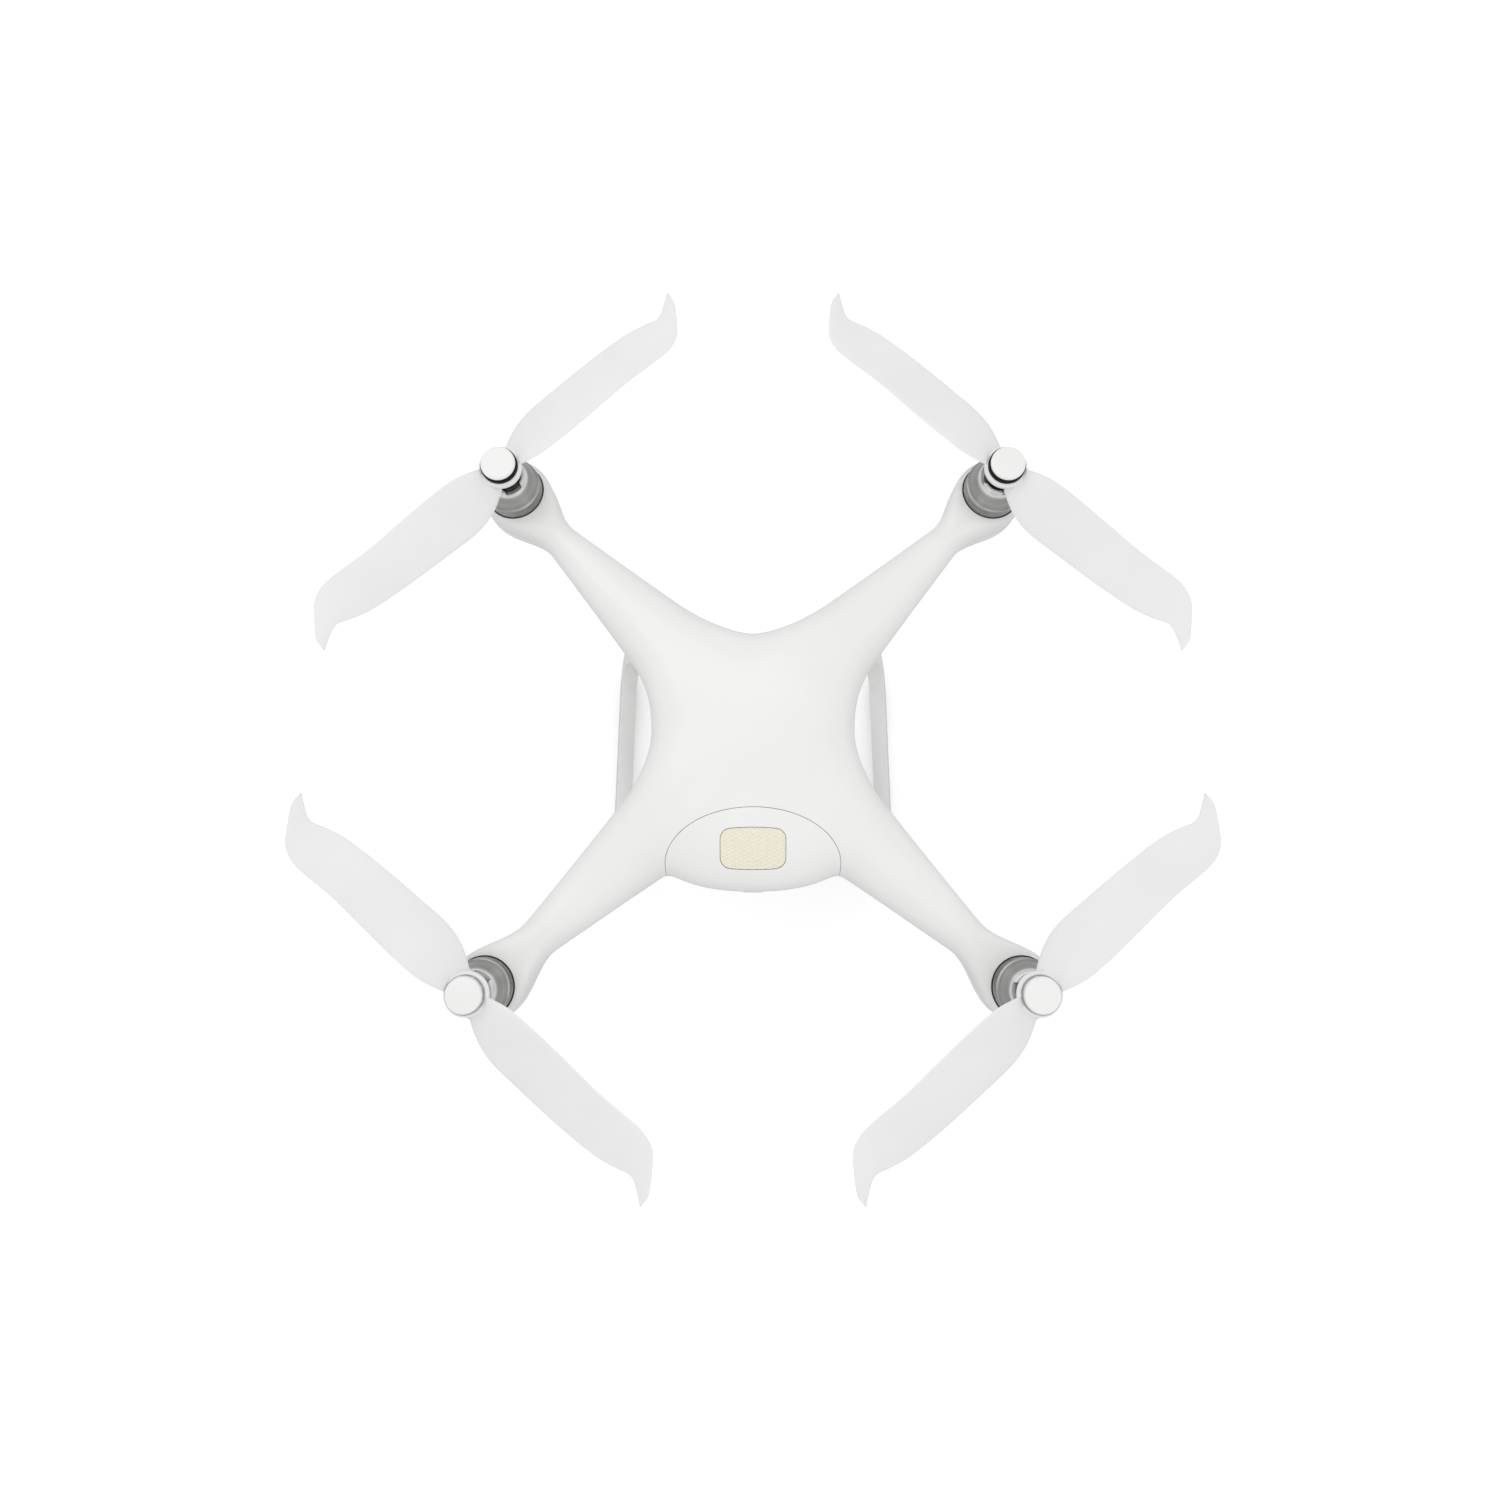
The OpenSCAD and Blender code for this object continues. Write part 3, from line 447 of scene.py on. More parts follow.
def object_from(name, points, faces, place=(0, 0, 0)):
    """A mesh object from points in millimetres, with its origin at a place in millimetres."""
    mesh = bpy.data.meshes.new(name)
    mesh.from_pydata([tuple(v * MM for v in p) for p in points], [], [tuple(f) for f in faces])
    clean(mesh)
    thing = bpy.data.objects.new(name, mesh)
    thing.location = [v * MM for v in place]
    bpy.context.scene.collection.objects.link(thing)
    return thing


def clean(mesh, gap=1e-6):
    """Joins doubled points, drops faces without area and points every face outwards."""
    b = bmesh.new()
    b.from_mesh(mesh)
    bmesh.ops.remove_doubles(b, verts=b.verts, dist=gap)
    bmesh.ops.dissolve_degenerate(b, edges=b.edges, dist=gap / 10)
    bmesh.ops.recalc_face_normals(b, faces=b.faces)
    b.to_mesh(mesh)
    b.free()


def smooth_shade(thing, angle):
    """Shades a piece smoothly except at edges sharper than an angle."""
    thing.data.shade_smooth()
    thing.data.set_sharp_from_angle(angle=angle)


def apply_modifiers(thing):
    """Turns a piece's modifiers into its mesh."""
    graph = bpy.context.evaluated_depsgraph_get()
    mesh = bpy.data.meshes.new_from_object(thing.evaluated_get(graph))
    thing.modifiers.clear()
    old = thing.data
    thing.data = mesh
    bpy.data.meshes.remove(old)


def cut(thing, *tools, operation="DIFFERENCE"):
    """Cuts tools out of a piece, or keeps what it shares with them, and removes the tools."""
    for tool in tools:
        step = thing.modifiers.new("cut", "BOOLEAN")
        step.operation = operation
        step.solver = "MANIFOLD"
        step.object = tool
    apply_modifiers(thing)
    for tool in tools:
        bpy.data.objects.remove(tool)


def round_edges(thing, width):
    """Rounds every sharp edge."""
    step = thing.modifiers.new("round", "BEVEL")
    step.width = width * MM
    step.segments = 2
    step.limit_method = "ANGLE"
    step.angle_limit = ROUNDED_ANGLE
    step.use_clamp_overlap = True
    apply_modifiers(thing)


def finish_piece(thing, materials, *nodes, angle=SHARP_ANGLE):
    """Shades a piece, gives it its slot's material, rides it and lets it stand for its nodes."""
    smooth_shade(thing, angle)
    slot = NODE_SLOT[nodes[0]]
    thing.data.materials.clear()
    thing.data.materials.append(materials[slot])
    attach(thing, NODE_BODY[nodes[0]])
    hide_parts(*nodes)
    return thing


def lathe(name, profile, steps=96, place=(0, 0, 0), ripple=None):
    """Turns a profile of (radius, height) round Z. ripple(angle, k) changes point k's radius."""
    points = []
    for i in range(steps):
        a = 2 * math.pi * i / steps
        for k, (r, z) in enumerate(profile):
            out = r + (ripple(a, k) if ripple else 0)
            points.append((out * math.cos(a), out * math.sin(a), z))
    m = len(profile)
    faces = [(i * m + k, ((i + 1) % steps) * m + k, ((i + 1) % steps) * m + k + 1, i * m + k + 1)
             for i in range(steps) for k in range(m - 1)]
    return object_from(name, points, faces, place)


def prism(name, outline, low, high):
    """A closed column over an outline."""
    n = len(outline)
    points = [(x, y, low) for x, y in outline] + [(x, y, high) for x, y in outline]
    faces = [tuple(range(n)), tuple(range(n, 2 * n))]
    faces += [(i, (i + 1) % n, n + (i + 1) % n, n + i) for i in range(n)]
    return object_from(name, points, faces)


# --- Body surface --------------------------------------------------------------------------
# The surface of the CAD shells, sampled finely and smoothed a little where the arms meet. Each
# station is an edge point, the ridge point that it hangs from, and that point's distance from
# the middle.

DOME_TOP = top_of("upper_shell")
BELLY = bottom_of("lower_shell")
SEAM_GAP = bottom_of("upper_shell") - top_of("lower_shell")
SEAM = bottom_of("upper_shell") - SEAM_GAP / 2
MOTOR = {c: middle("shaft_" + c)[:2] for c in CORNERS}
REAR_EDGE = -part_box("battery_cap")[0][1] / MM
CAP_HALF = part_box("battery_cap")[1][0] / MM
CAP_FRONT = -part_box("battery_cap")[1][1] / MM
CAP_CENTRE = -66.0
# Height of the arms' underside and of the pods' tops, radius of the pods, and how far from a
# motor its arm is narrowest
ARM_BOTTOM, POD_TOP, POD_R, NECK_GAP = 136.0, 163.0, 17.4, 33.0
# Half width of a front (True) or rear arm at its narrowest
NECK = {True: 8.8, False: 10.0}
# How fast an arm's end (True) or side edge widens towards the middle
TAPER = {True: 0.165, False: 0.135}
FRONT_EDGE, SIDE_EDGE = 50.0, 50.7
WALL = 1.8
POD_HOLE = 14.8
# Visible gaps round the battery and its pads
BAY_GAP, PAD_GAP = 0.25, 0.25
# Distance from the middle where the curve between two arms starts
VALLEY_START, REAR_VALLEY_START = 74.0, 84.0
# Where the dome starts to fall to the pods and how far that takes, and the same for the belly
DOME_FALL = (15.0, 110.0)
BELLY_RISE = (50.0, 62.0)
# Samples along half an arm's pod, flare, taper and valley, and from ridge to edge
POD_STEPS, FLARE_STEPS, TAPER_STEPS, VALLEY_STEPS, RING_STEPS = 20, 20, 20, 40, 26
# Smoothing where arms meet: rounds, where along an arm it starts to fade and how far that takes
SETTLE_ROUNDS, SETTLE_START, SETTLE_FADE = 80, 30.0, 40.0


def mix(a, b, t):
    """Runs straight from a to b as t runs from 0 to 1."""
    return a + (b - a) * t


def ease(t):
    """Runs smoothly from 0 to 1, and holds at either end."""
    c = min(1.0, max(0.0, t))
    return c * c * (3 - 2 * c)


def bezier(a, b, c, d, t):
    """Cubic curve from a to d with the handles b and c."""
    return (1 - t) ** 3 * a + 3 * (1 - t) ** 2 * t * b + 3 * (1 - t) * t * t * c + t ** 3 * d


def arm_axes(front, end):
    """Length and direction of a right-hand arm, and the direction of one of its edges."""
    motor = np.array(MOTOR["fr" if front else "rr"])
    length = float(np.linalg.norm(motor))
    along = motor / length
    side = (1 if front else -1) * np.array([-along[1], along[0]])
    return length, along, side if end else -side


def edge_on_arm(front, end, s):
    """Point on an arm's edge at a distance from the middle, past the valleys between arms."""
    length, along, side = arm_axes(front, end)
    neck_s = length - NECK_GAP
    neck, taper = NECK[front], TAPER[end]
    if s <= neck_s:
        half = neck + taper * (neck_s - s)
    else:
        half = bezier(neck, neck - taper * NECK_GAP / 3, POD_R, POD_R, (s - neck_s) / NECK_GAP)
    return s * along + half * side


# The bottom of each valley between arms, and how long its curve holds the arm's direction and
# its own: keyed by (front arm, front or rear edge)
VALLEYS = {
    (True, True): ((0, FRONT_EDGE), 17, (9.6, 0)),
    (False, True): ((0, -REAR_EDGE), 11, (38, 0)),
    (True, False): ((SIDE_EDGE, 0), 19, (0, 14)),
    (False, False): ((SIDE_EDGE, 0), 17, (0, -11)),
}


def edge_point(front, end, s):
    """Point on the body's edge for the point of an arm's ridge at a distance from the middle."""
    start_s = REAR_VALLEY_START if end and not front else VALLEY_START
    if s >= start_s:
        return edge_on_arm(front, end, s)
    _, along, side = arm_axes(front, end)
    start = edge_on_arm(front, end, start_s)
    inward = TAPER[end] * side - along
    inward /= np.linalg.norm(inward)
    bottom, hold, handle = VALLEYS[front, end]
    bottom = np.array(bottom, float)
    return bezier(start, start + hold * inward, bottom + np.array(handle, float), bottom, 1 - s / start_s)


def half_arm(front, end):
    """Stations of half an arm, from its tip to the valley."""
    length, along, side = arm_axes(front, end)
    tip = length * along
    out = []
    for i in range(POD_STEPS):
        a = math.pi / 2 * i / POD_STEPS
        out.append((tip + POD_R * (math.cos(a) * along + math.sin(a) * side), tip, length))
    neck_s = length - NECK_GAP
    steps = [length - NECK_GAP * i / FLARE_STEPS for i in range(FLARE_STEPS)]
    steps += [mix(neck_s, REAR_VALLEY_START, i / TAPER_STEPS) for i in range(TAPER_STEPS)]
    steps += [REAR_VALLEY_START * (1 - i / VALLEY_STEPS) for i in range(VALLEY_STEPS + 1)]
    return out + [(edge_point(front, end, s), s * along, s) for s in steps]


def body_loop():
    """Every station, counterclockwise from the rear."""
    right = half_arm(False, True)[:0:-1] + half_arm(False, False)[:-1]
    right += half_arm(True, False)[:0:-1] + half_arm(True, True)
    flip = np.array([-1.0, 1.0])
    return right + [(e * flip, r * flip, s) for e, r, s in right[-2:0:-1]]


LOOP = body_loop()
FRONT_LENGTH = arm_axes(True, True)[0]


def podness(s):
    """0 on the arms and 1 at the pods."""
    return ease((s - FRONT_LENGTH + NECK_GAP) / NECK_GAP)


def skin(top, inset, base):
    """Grid of points from every station's ridge to its edge."""
    rows = []
    for edge, ridge, s in LOOP:
        if top:
            height = mix(DOME_TOP, POD_TOP, ease((s - DOME_FALL[0]) / DOME_FALL[1])) - inset
            power = mix(mix(3.0, 2.2, ease(s / 90)), 6.0, podness(s))
        else:
            height = mix(BELLY, ARM_BOTTOM, ease((s - BELLY_RISE[0]) / BELLY_RISE[1])) + inset
            power = mix(mix(4.0, 2.4, ease((s - 40) / 60)), 6.0, podness(s))
        inner = edge + inset * (ridge - edge) / np.linalg.norm(ridge - edge)
        row = []
        for j in range(RING_STEPS + 1):
            a = math.pi / 2 * j / RING_STEPS
            out = max(0.0, math.sin(a)) ** (2 / power)
            up = max(0.0, math.cos(a)) ** (2 / power) if j < RING_STEPS else 0.0
            row.append((*mix(ridge, inner, out), base + (height - base) * up))
        rows.append(row)
    return settled(np.array(rows))


def settled(grid):
    """Rounds off the creases that the skin has where two arms meet."""
    near = np.array([1 - ease((s - SETTLE_START) / SETTLE_FADE) for _, _, s in LOOP])
    share = np.linspace(0, 1, RING_STEPS + 1)
    inside = np.array([ease(t / 0.25) * (1 - ease((t - 0.5) / 0.35)) for t in share])
    weight = 0.5 * np.outer(near, inside)[:, :, None]
    for _ in range(SETTLE_ROUNDS):
        beside = (np.roll(grid, 1, axis=0) + np.roll(grid, -1, axis=0)) / 2
        grid = grid + weight * (beside - grid)
    return grid


def join_skins(name, first, second):
    """A closed piece between two skins."""
    n, m = len(first), RING_STEPS + 1
    points = [p for row in first for p in row] + [p for row in second for p in row]
    faces = []
    for i in range(n):
        k = (i + 1) % n
        for j in range(m - 1):
            for start in (0, n * m):
                near, far = start + i * m + j, start + k * m + j
                faces.append((near, near + 1, far + 1, far))
        faces.append((i * m + m - 1, k * m + m - 1, n * m + k * m + m - 1, n * m + i * m + m - 1))
    return object_from(name, points, faces)


def cap_outline(gap):
    """Plan of the battery's visible end: a half ellipse in front and straight sides behind."""
    wide, deep = CAP_HALF + gap, -CAP_CENTRE - CAP_FRONT + gap
    arc = [(wide * math.cos(a), CAP_CENTRE + deep * math.sin(a)) for a in np.linspace(0, math.pi, 72)]
    behind = -REAR_EDGE - 31.4
    return arc + [(-wide, behind), (wide, behind)]


def cap_prism(name, gap):
    """A column over the plan of the battery's visible end."""
    return prism(name, cap_outline(gap), BELLY - 10, DOME_TOP + 12)


def column(name, radius, place, low, high, steps=96):
    """A closed upright cylinder, as a cutting tool."""
    outline = [(place[0] + radius * math.cos(a), place[1] + radius * math.sin(a))
               for a in np.linspace(0, 2 * math.pi, steps, endpoint=False)]
    return prism(name, outline, low, high)


# --- Body pieces ---------------------------------------------------------------------------

# Height from which the surface is felt for
FEEL_HEIGHT = 260.0
# How much the edges of the shells and the battery's end are rounded
SHELL_ROUND = 0.15
MOTOR_SEAT_TOP, MOTOR_SEAT_R = 147.0, 15.6
MOTOR_SCREW_CIRCLE, MOTOR_SCREW_HOLE = 9.5, 2.9
# How far from the middle the two shell screws of an arm stand
SCREW_REACH = (92.0, 126.0)
SHELL_SCREW_HOLE = 2.6
# How far a light cover lies from its motor
LIGHT_BACK = 33.0
LIGHT_HOLE = 5.1
# Gaps round the front sensors and the belly panel, and the panel's corner radius
EYE_GAP, BELLY_GAP = 0.15, 0.2
BELLY_CORNER = 5


def body_form():
    """The whole body as one closed skin, with no seam."""
    return join_skins("body_form", skin(True, 0, SEAM + 0.01), skin(False, 0, SEAM - 0.01))


def surface_heights(form):
    """A function that gives the height of a form's top at (x, y), or of its underside."""
    tree = BVHTree.FromObject(form, bpy.context.evaluated_depsgraph_get())

    def height(x, y, top=True):
        start = Vector((x * MM, y * MM, (FEEL_HEIGHT if top else -FEEL_HEIGHT) * MM))
        hit = tree.ray_cast(start, Vector((0, 0, -1 if top else 1)))[0]
        return hit.z / MM if hit else None

    return height


def screw_places():
    """Where the shell screws stand, along each arm."""
    return [[d * v / math.hypot(*MOTOR[c]) for v in MOTOR[c]] for c in CORNERS for d in SCREW_REACH]


def joined(name, things):
    """Makes one object out of several and removes them."""
    b = bmesh.new()
    for thing in things:
        b.from_mesh(thing.data)
        bpy.data.objects.remove(thing)
    mesh = bpy.data.meshes.new(name)
    b.to_mesh(mesh)
    b.free()
    out = bpy.data.objects.new(name, mesh)
    bpy.context.scene.collection.objects.link(out)
    return out


def around(place, radius, start, count):
    """Points spaced evenly round a place."""
    return [(place[0] + radius * math.cos(math.radians(start + 360 * k / count)),
             place[1] + radius * math.sin(math.radians(start + 360 * k / count))) for k in range(count)]


def upper_shell(materials):
    """Top moulding: bay cut for the battery, and a hole over each motor."""
    base = SEAM + SEAM_GAP / 2
    shell = join_skins("body_top", skin(True, 0, base), skin(True, WALL, base))
    holes = [column("hole", POD_HOLE, MOTOR[c], 140, 200) for c in CORNERS]
    cut(shell, cap_prism("bay", BAY_GAP), joined("holes", holes))
    round_edges(shell, SHELL_ROUND)
    return finish_piece(shell, materials, "upper_shell")


def lower_shell(materials):
    """Bottom moulding, with motor seats, screw holes and openings for lights and sensors."""
    base = SEAM - SEAM_GAP / 2
    shell = join_skins("body_bottom", skin(False, 0, base), skin(False, WALL, base))
    seats = [column("seat", MOTOR_SEAT_R, MOTOR[c], ARM_BOTTOM + 1, MOTOR_SEAT_TOP) for c in CORNERS]
    cut(shell, joined("seats", seats), operation="UNION")
    low, high = ARM_BOTTOM - 16, ARM_BOTTOM + 2
    holes = [column("hole", SHELL_SCREW_HOLE, place, low, high + 0.3, 32) for place in screw_places()]
    for c in CORNERS:
        screws = around(MOTOR[c], MOTOR_SCREW_CIRCLE, 45, 4)
        holes += [column("hole", MOTOR_SCREW_HOLE, place, low, high, 32) for place in screws]
    holes += [column("hole", LIGHT_HOLE, light_place(c), low, ARM_BOTTOM + 10, 48) for c in CORNERS]
    cut(shell, cap_prism("bay", BAY_GAP), joined("holes", holes), joined("eyes", eye_tools(EYE_GAP)),
        belly_tool(BELLY_GAP))
    round_edges(shell, SHELL_ROUND)
    return finish_piece(shell, materials, "lower_shell")


def light_place(corner):
    """Centre of the light cover under an arm."""
    length = math.hypot(*MOTOR[corner])
    return [v * (length - LIGHT_BACK) / length for v in MOTOR[corner]]


def eye_tools(gap):
    """Round bars through the front wall, where the two front sensors sit."""
    low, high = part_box("front_sensors")
    radius = (high[2] - low[2]) / 2 / MM
    x, z = high[0] / MM - radius, (low[2] + high[2]) / 2 / MM
    lie_down = Matrix.Rotation(-math.pi / 2, 4, "X")
    out = []
    for side in (-1, 1):
        bar = column("eye", radius + gap, (0, 0), low[1] / MM - 2, high[1] / MM + 4, 64)
        bar.data.transform(Matrix.Translation((side * x * MM, 0, z * MM)) @ lie_down)
        out.append(bar)
    return out


def rounded_rectangle(half_x, half_y, corner, steps=12, bow=0.0, centre=(0, 0)):
    """Outline with round corners. bow pulls in the ends of its long edges."""
    out = []
    for cx, cy, start in ((1, 1, 0), (-1, 1, 90), (-1, -1, 180), (1, -1, 270)):
        for a in np.linspace(start, start + 90, steps):
            x = cx * (half_x - corner) + corner * math.cos(math.radians(a))
            y = cy * (half_y - corner) + corner * math.sin(math.radians(a))
            out.append((centre[0] + x, centre[1] + y))
    if bow:
        out = subdivided(out, 1.2)
        out = [(x, y - bow * ((x - centre[0]) / half_x) ** 2 * (y - centre[1]) / half_y) for x, y in out]
    return out


def subdivided(outline, step):
    """Adds points along an outline's straight edges."""
    out = []
    for (x0, y0), (x1, y1) in zip(outline, outline[1:] + outline[:1]):
        count = max(1, int(math.hypot(x1 - x0, y1 - y0) / step))
        out += [(mix(x0, x1, i / count), mix(y0, y1, i / count)) for i in range(count)]
    return out


def belly_tool(gap):
    """A column through the belly, round the sensor panel."""
    low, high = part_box("belly_sensors")
    half = [(high[k] - low[k]) / 2 / MM + gap for k in (0, 1)]
    outline = rounded_rectangle(*half, BELLY_CORNER + gap, centre=middle("belly_sensors")[:2])
    return prism("belly", outline, 90, low[2] / MM + 4)


# --- Battery -------------------------------------------------------------------------------

# Depth of the room behind a pad, how far the pads' long edges bow, and their corner radius
PAD_DROP = 2.4
PAD_BOW = 1.0
PAD_CORNER = 4.5
# Spacing, zigzag and height of the ribs on the pads
RIB_PITCH, RIB_ZIG, RIB_HEIGHT = 1.9, 2.0, 0.55
# The hollow of the battery's visible end: half width, back, front, bottom and top
HOLLOW_HALF, HOLLOW_BACK, HOLLOW_FRONT, HOLLOW_LOW, HOLLOW_HIGH = 31, -68, -30, 118, 158
# Height of the top of the lower pad's pocket
LOWER_POCKET = 114.4
# Radius of the power button's bore, and radii of the groove for the charge lights round it
BUTTON_BORE_R = 5.2
LIGHT_GROOVE = (9.2, 6.8)


def pad_outline(gap):
    """Plan of a release pad, with its front and rear edges bowed."""
    low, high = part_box("release_pad_top")
    half = [(high[k] - low[k]) / 2 / MM + gap for k in (0, 1)]
    centre = middle("release_pad_top")[:2]
    return rounded_rectangle(*half, PAD_CORNER + gap, bow=PAD_BOW, centre=centre)


def battery_cap(materials):
    """Visible end of the battery: the body's own surface inside the bay outline."""
    cap = body_form()
    cut(cap, cap_prism("outline", 0.0), operation="INTERSECT")
    hollow = [(side * HOLLOW_HALF, y) for side, y in
              ((-1, HOLLOW_BACK), (1, HOLLOW_BACK), (1, HOLLOW_FRONT), (-1, HOLLOW_FRONT))]
    pockets = [prism("pocket", pad_outline(PAD_GAP), LOWER_POCKET - 60, LOWER_POCKET),
               prism("pocket", pad_outline(PAD_GAP), bottom_of("release_pad_top") - PAD_DROP, 200),
               prism("inside", hollow, HOLLOW_LOW, HOLLOW_HIGH)]
    button = middle("power_button")
    bore = facing_back(column("bore", BUTTON_BORE_R, (0, 0), -4, 9), button)
    groove = facing_back(tube("groove", *LIGHT_GROOVE, 0.0, 4.0), button)
    cut(cap, joined("pockets", pockets), bore, groove)
    round_edges(cap, SHELL_ROUND)
    return finish_piece(cap, materials, "battery_cap")


def facing_back(thing, place):
    """Stands an upright piece just off the drone's rear face, its top pointing into the body."""
    turn = Matrix.Rotation(-math.pi / 2, 4, "X")
    move = Matrix.Translation((place[0] * MM, (-REAR_EDGE - 0.2) * MM, place[2] * MM))
    thing.data.transform(move @ turn)
    return thing


def tube(name, outer, inner, low, high, steps=96):
    """A closed upright tube."""
    return lathe(name, [(outer, low), (outer, high), (inner, high), (inner, low), (outer, low)], steps)


def pad_ribs(x, y):
    """Height of the fine zigzag ribs on a release pad."""
    zig = abs((x / RIB_ZIG) % 2.0 - 1.0) * RIB_ZIG
    return RIB_HEIGHT * (0.5 + 0.5 * math.cos(2 * math.pi * (y + 0.8 * zig) / RIB_PITCH))


def release_pad(node, height, materials, top=True):
    """A pad whose face follows the body and carries moulded zigzag ribs."""
    low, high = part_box(node)
    xs, ys = (np.arange(low[k] / MM - 1, high[k] / MM + 1, RIB_PITCH / 7) for k in (0, 1))
    back_z = bottom_of(node) if top else top_of(node)
    face, back = [], []
    for x in xs:
        for y in ys:
            z = height(x, y, top)
            ribs = pad_ribs(x, y) - RIB_HEIGHT - 0.1
            face.append((x, y, z + (ribs if top else -ribs)))
            back.append((x, y, back_z))
    n, m = len(xs), len(ys)
    faces = []
    for i in range(n - 1):
        for j in range(m - 1):
            for start in (0, n * m):
                near, far = start + i * m + j, start + (i + 1) * m + j
                faces.append((near, far, far + 1, near + 1))
    rim = [i * m for i in range(n)] + [(n - 1) * m + j for j in range(1, m)]
    rim += [i * m + m - 1 for i in range(n - 2, -1, -1)] + [j for j in range(m - 2, 0, -1)]
    faces += [(a, b, b + n * m, a + n * m) for a, b in zip(rim, rim[1:] + rim[:1])]
    pad = object_from(node + "_skin", face + back, faces)
    cut(pad, prism("outline", pad_outline(0), 90, 200), operation="INTERSECT")
    return finish_piece(pad, materials, node, angle=math.radians(50))


# --- Propellers ----------------------------------------------------------------------------
# The blade outline: (distance from the axis, trailing edge, leading edge), at a 120 mm tip

BLADE = ((7, 7, -7), (18, 11.5, -11.5), (30, 13, -13.6), (48, 10.8, -15.4), (72, 7.2, -17.4),
         (90, 3.6, -20.3), (97, 1.2, -20.9), (102, -1, -20.2), (106.5, -3.2, -18.2), (110, -3.1, -15),
         (113, -1.9, -11.8), (116.5, -0.2, -7.9), (119.2, 1.2, -4), (120, 1.6, 0.4))
BLADE_TIP = 120.0
# Keeps the tips inside the CAD propellers
PROP_SCALE = 238.6 / 240.0
BLADE_Z, BLADE_RISE = 188.4, 2.6
ROOT_PITCH, TIP_PITCH = math.radians(24), math.radians(9)
ROOT_THICK, TIP_THICK = 3.2, 0.9
# Samples along a blade and round it
BLADE_ROWS, BLADE_SIDES = 72, 36
# Angle between a blade at rest and the sideways direction
REST_TURN = 48.0
# How far the hub's top lies above the blades' middle, and radii of the hub and its collar
HUB_RISE = 3.0
HUB_R, COLLAR_R = 7.6, 10.2
# Radius of the motor shaft, and its gap in the hub
SHAFT_R = 2.0
SHAFT_GAP = 0.03


def spline_through(rows, t):
    """Smooth curve through rows of numbers. t runs from 0 to 1."""
    s = t * (len(rows) - 1)
    i = min(int(s), len(rows) - 2)
    u = s - i
    beside = [min(max(k, 0), len(rows) - 1) for k in (i - 1, i, i + 1, i + 2)]
    p0, p1, p2, p3 = (np.array(rows[k], float) for k in beside)
    return 0.5 * (2 * p1 + (p2 - p0) * u + (2 * p0 - 5 * p1 + 4 * p2 - p3) * u ** 2
                  + (3 * p1 - p0 - 3 * p2 + p3) * u ** 3)


def blade_points(scale):
    """Rings of points from the hub to the tip."""
    rings = []
    for i in range(BLADE_ROWS + 1):
        r, trail, lead = spline_through(BLADE, i / BLADE_ROWS)
        share = (r - BLADE[0][0]) / (BLADE_TIP - BLADE[0][0])
        half, centre = (trail - lead) / 2, (trail + lead) / 2
        pitch = mix(ROOT_PITCH, TIP_PITCH, math.sqrt(max(0.0, share)))
        thick = mix(ROOT_THICK, TIP_THICK, share)
        lift = BLADE_Z + BLADE_RISE * share
        ring = []
        for k in range(BLADE_SIDES):
            a = 2 * math.pi * k / BLADE_SIDES
            across = half * math.cos(a)
            up = thick * (0.7 if math.sin(a) > 0 else 0.3) * math.sin(a)
            ring.append((scale * r, scale * (centre + across * math.cos(pitch) + up * math.sin(pitch)),
                         lift + up * math.cos(pitch) - across * math.sin(pitch)))
        rings.append(ring)
    return rings


def loft(name, rings):
    """A closed piece through rings of points."""
    n, m = len(rings), len(rings[0])
    points = [p for ring in rings for p in ring]
    faces = [tuple(range(m)), tuple(range((n - 1) * m, n * m))]
    faces += [(i * m + k, (i + 1) * m + k, (i + 1) * m + (k + 1) % m, i * m + (k + 1) % m)
              for i in range(n - 1) for k in range(m)]
    return object_from(name, points, faces)


def propeller(corner, materials):
    """Two swept blades joined into one hub."""
    node = "propeller_" + corner
    low, high = bottom_of(node), BLADE_Z + HUB_RISE
    bore = SHAFT_R + SHAFT_GAP
    collar = COLLAR_R
    profile = [(bore, low), (HUB_R - 0.2, low), (HUB_R, low + 0.2), (HUB_R, high - 3.6),
               (HUB_R + 0.7, high - 3.35), (collar - 0.6, high - 2.9), (collar - 0.1, high - 2.6),
               (collar, high - 2.2), (collar, high - 0.6), (collar - 0.15, high - 0.25),
               (collar - 0.5, high), (bore, high), (bore, low)]
    hub = lathe("prop_" + corner, profile)
    rings = blade_points(PROP_SCALE)
    first, second = loft("blade", rings), loft("blade", rings)
    second.data.transform(Matrix.Rotation(math.pi, 4, "Z"))
    cut(hub, first, second, operation="UNION")
    cut(hub, tube("ring_room", collar - 0.5, SHAFT_R - 1, high, high + 6))
    side = SIGN[corner]
    flip = Matrix.Diagonal((-side[0], side[1], 1, 1)) @ Matrix.Rotation(math.radians(REST_TURN), 4, "Z")
    hub.data.transform(flip)
    if flip.determinant() < 0:
        hub.data.flip_normals()
    hub.location = (MOTOR[corner][0] * MM, MOTOR[corner][1] * MM, 0)
    return finish_piece(hub, materials, node)


# --- Motors --------------------------------------------------------------------------------

BELL_R, BELL_INSIDE_R = 14.2, 12.2
# Height of the lid's outer edge, from where the lid rises to the lock ring
BELL_SHOULDER = 170.5
# Radius, height and wall of the lock ring, and the half width and sill of its slots
LOCK_RING_R, LOCK_RING_T, LOCK_RING_WALL = 9.4, 3.8, 1.6
LOCK_SLOT_HALF, LOCK_SLOT_FLOOR = 4.2, 1.2
LOCK_SLOT_ANGLES = (60, 180, 300)
# Height above which a bell's metal is lighter, round its lock ring: partly polish, partly a painted
# highlight
LOCK_RING_POLISH_AND_HIGHLIGHT = 176.6
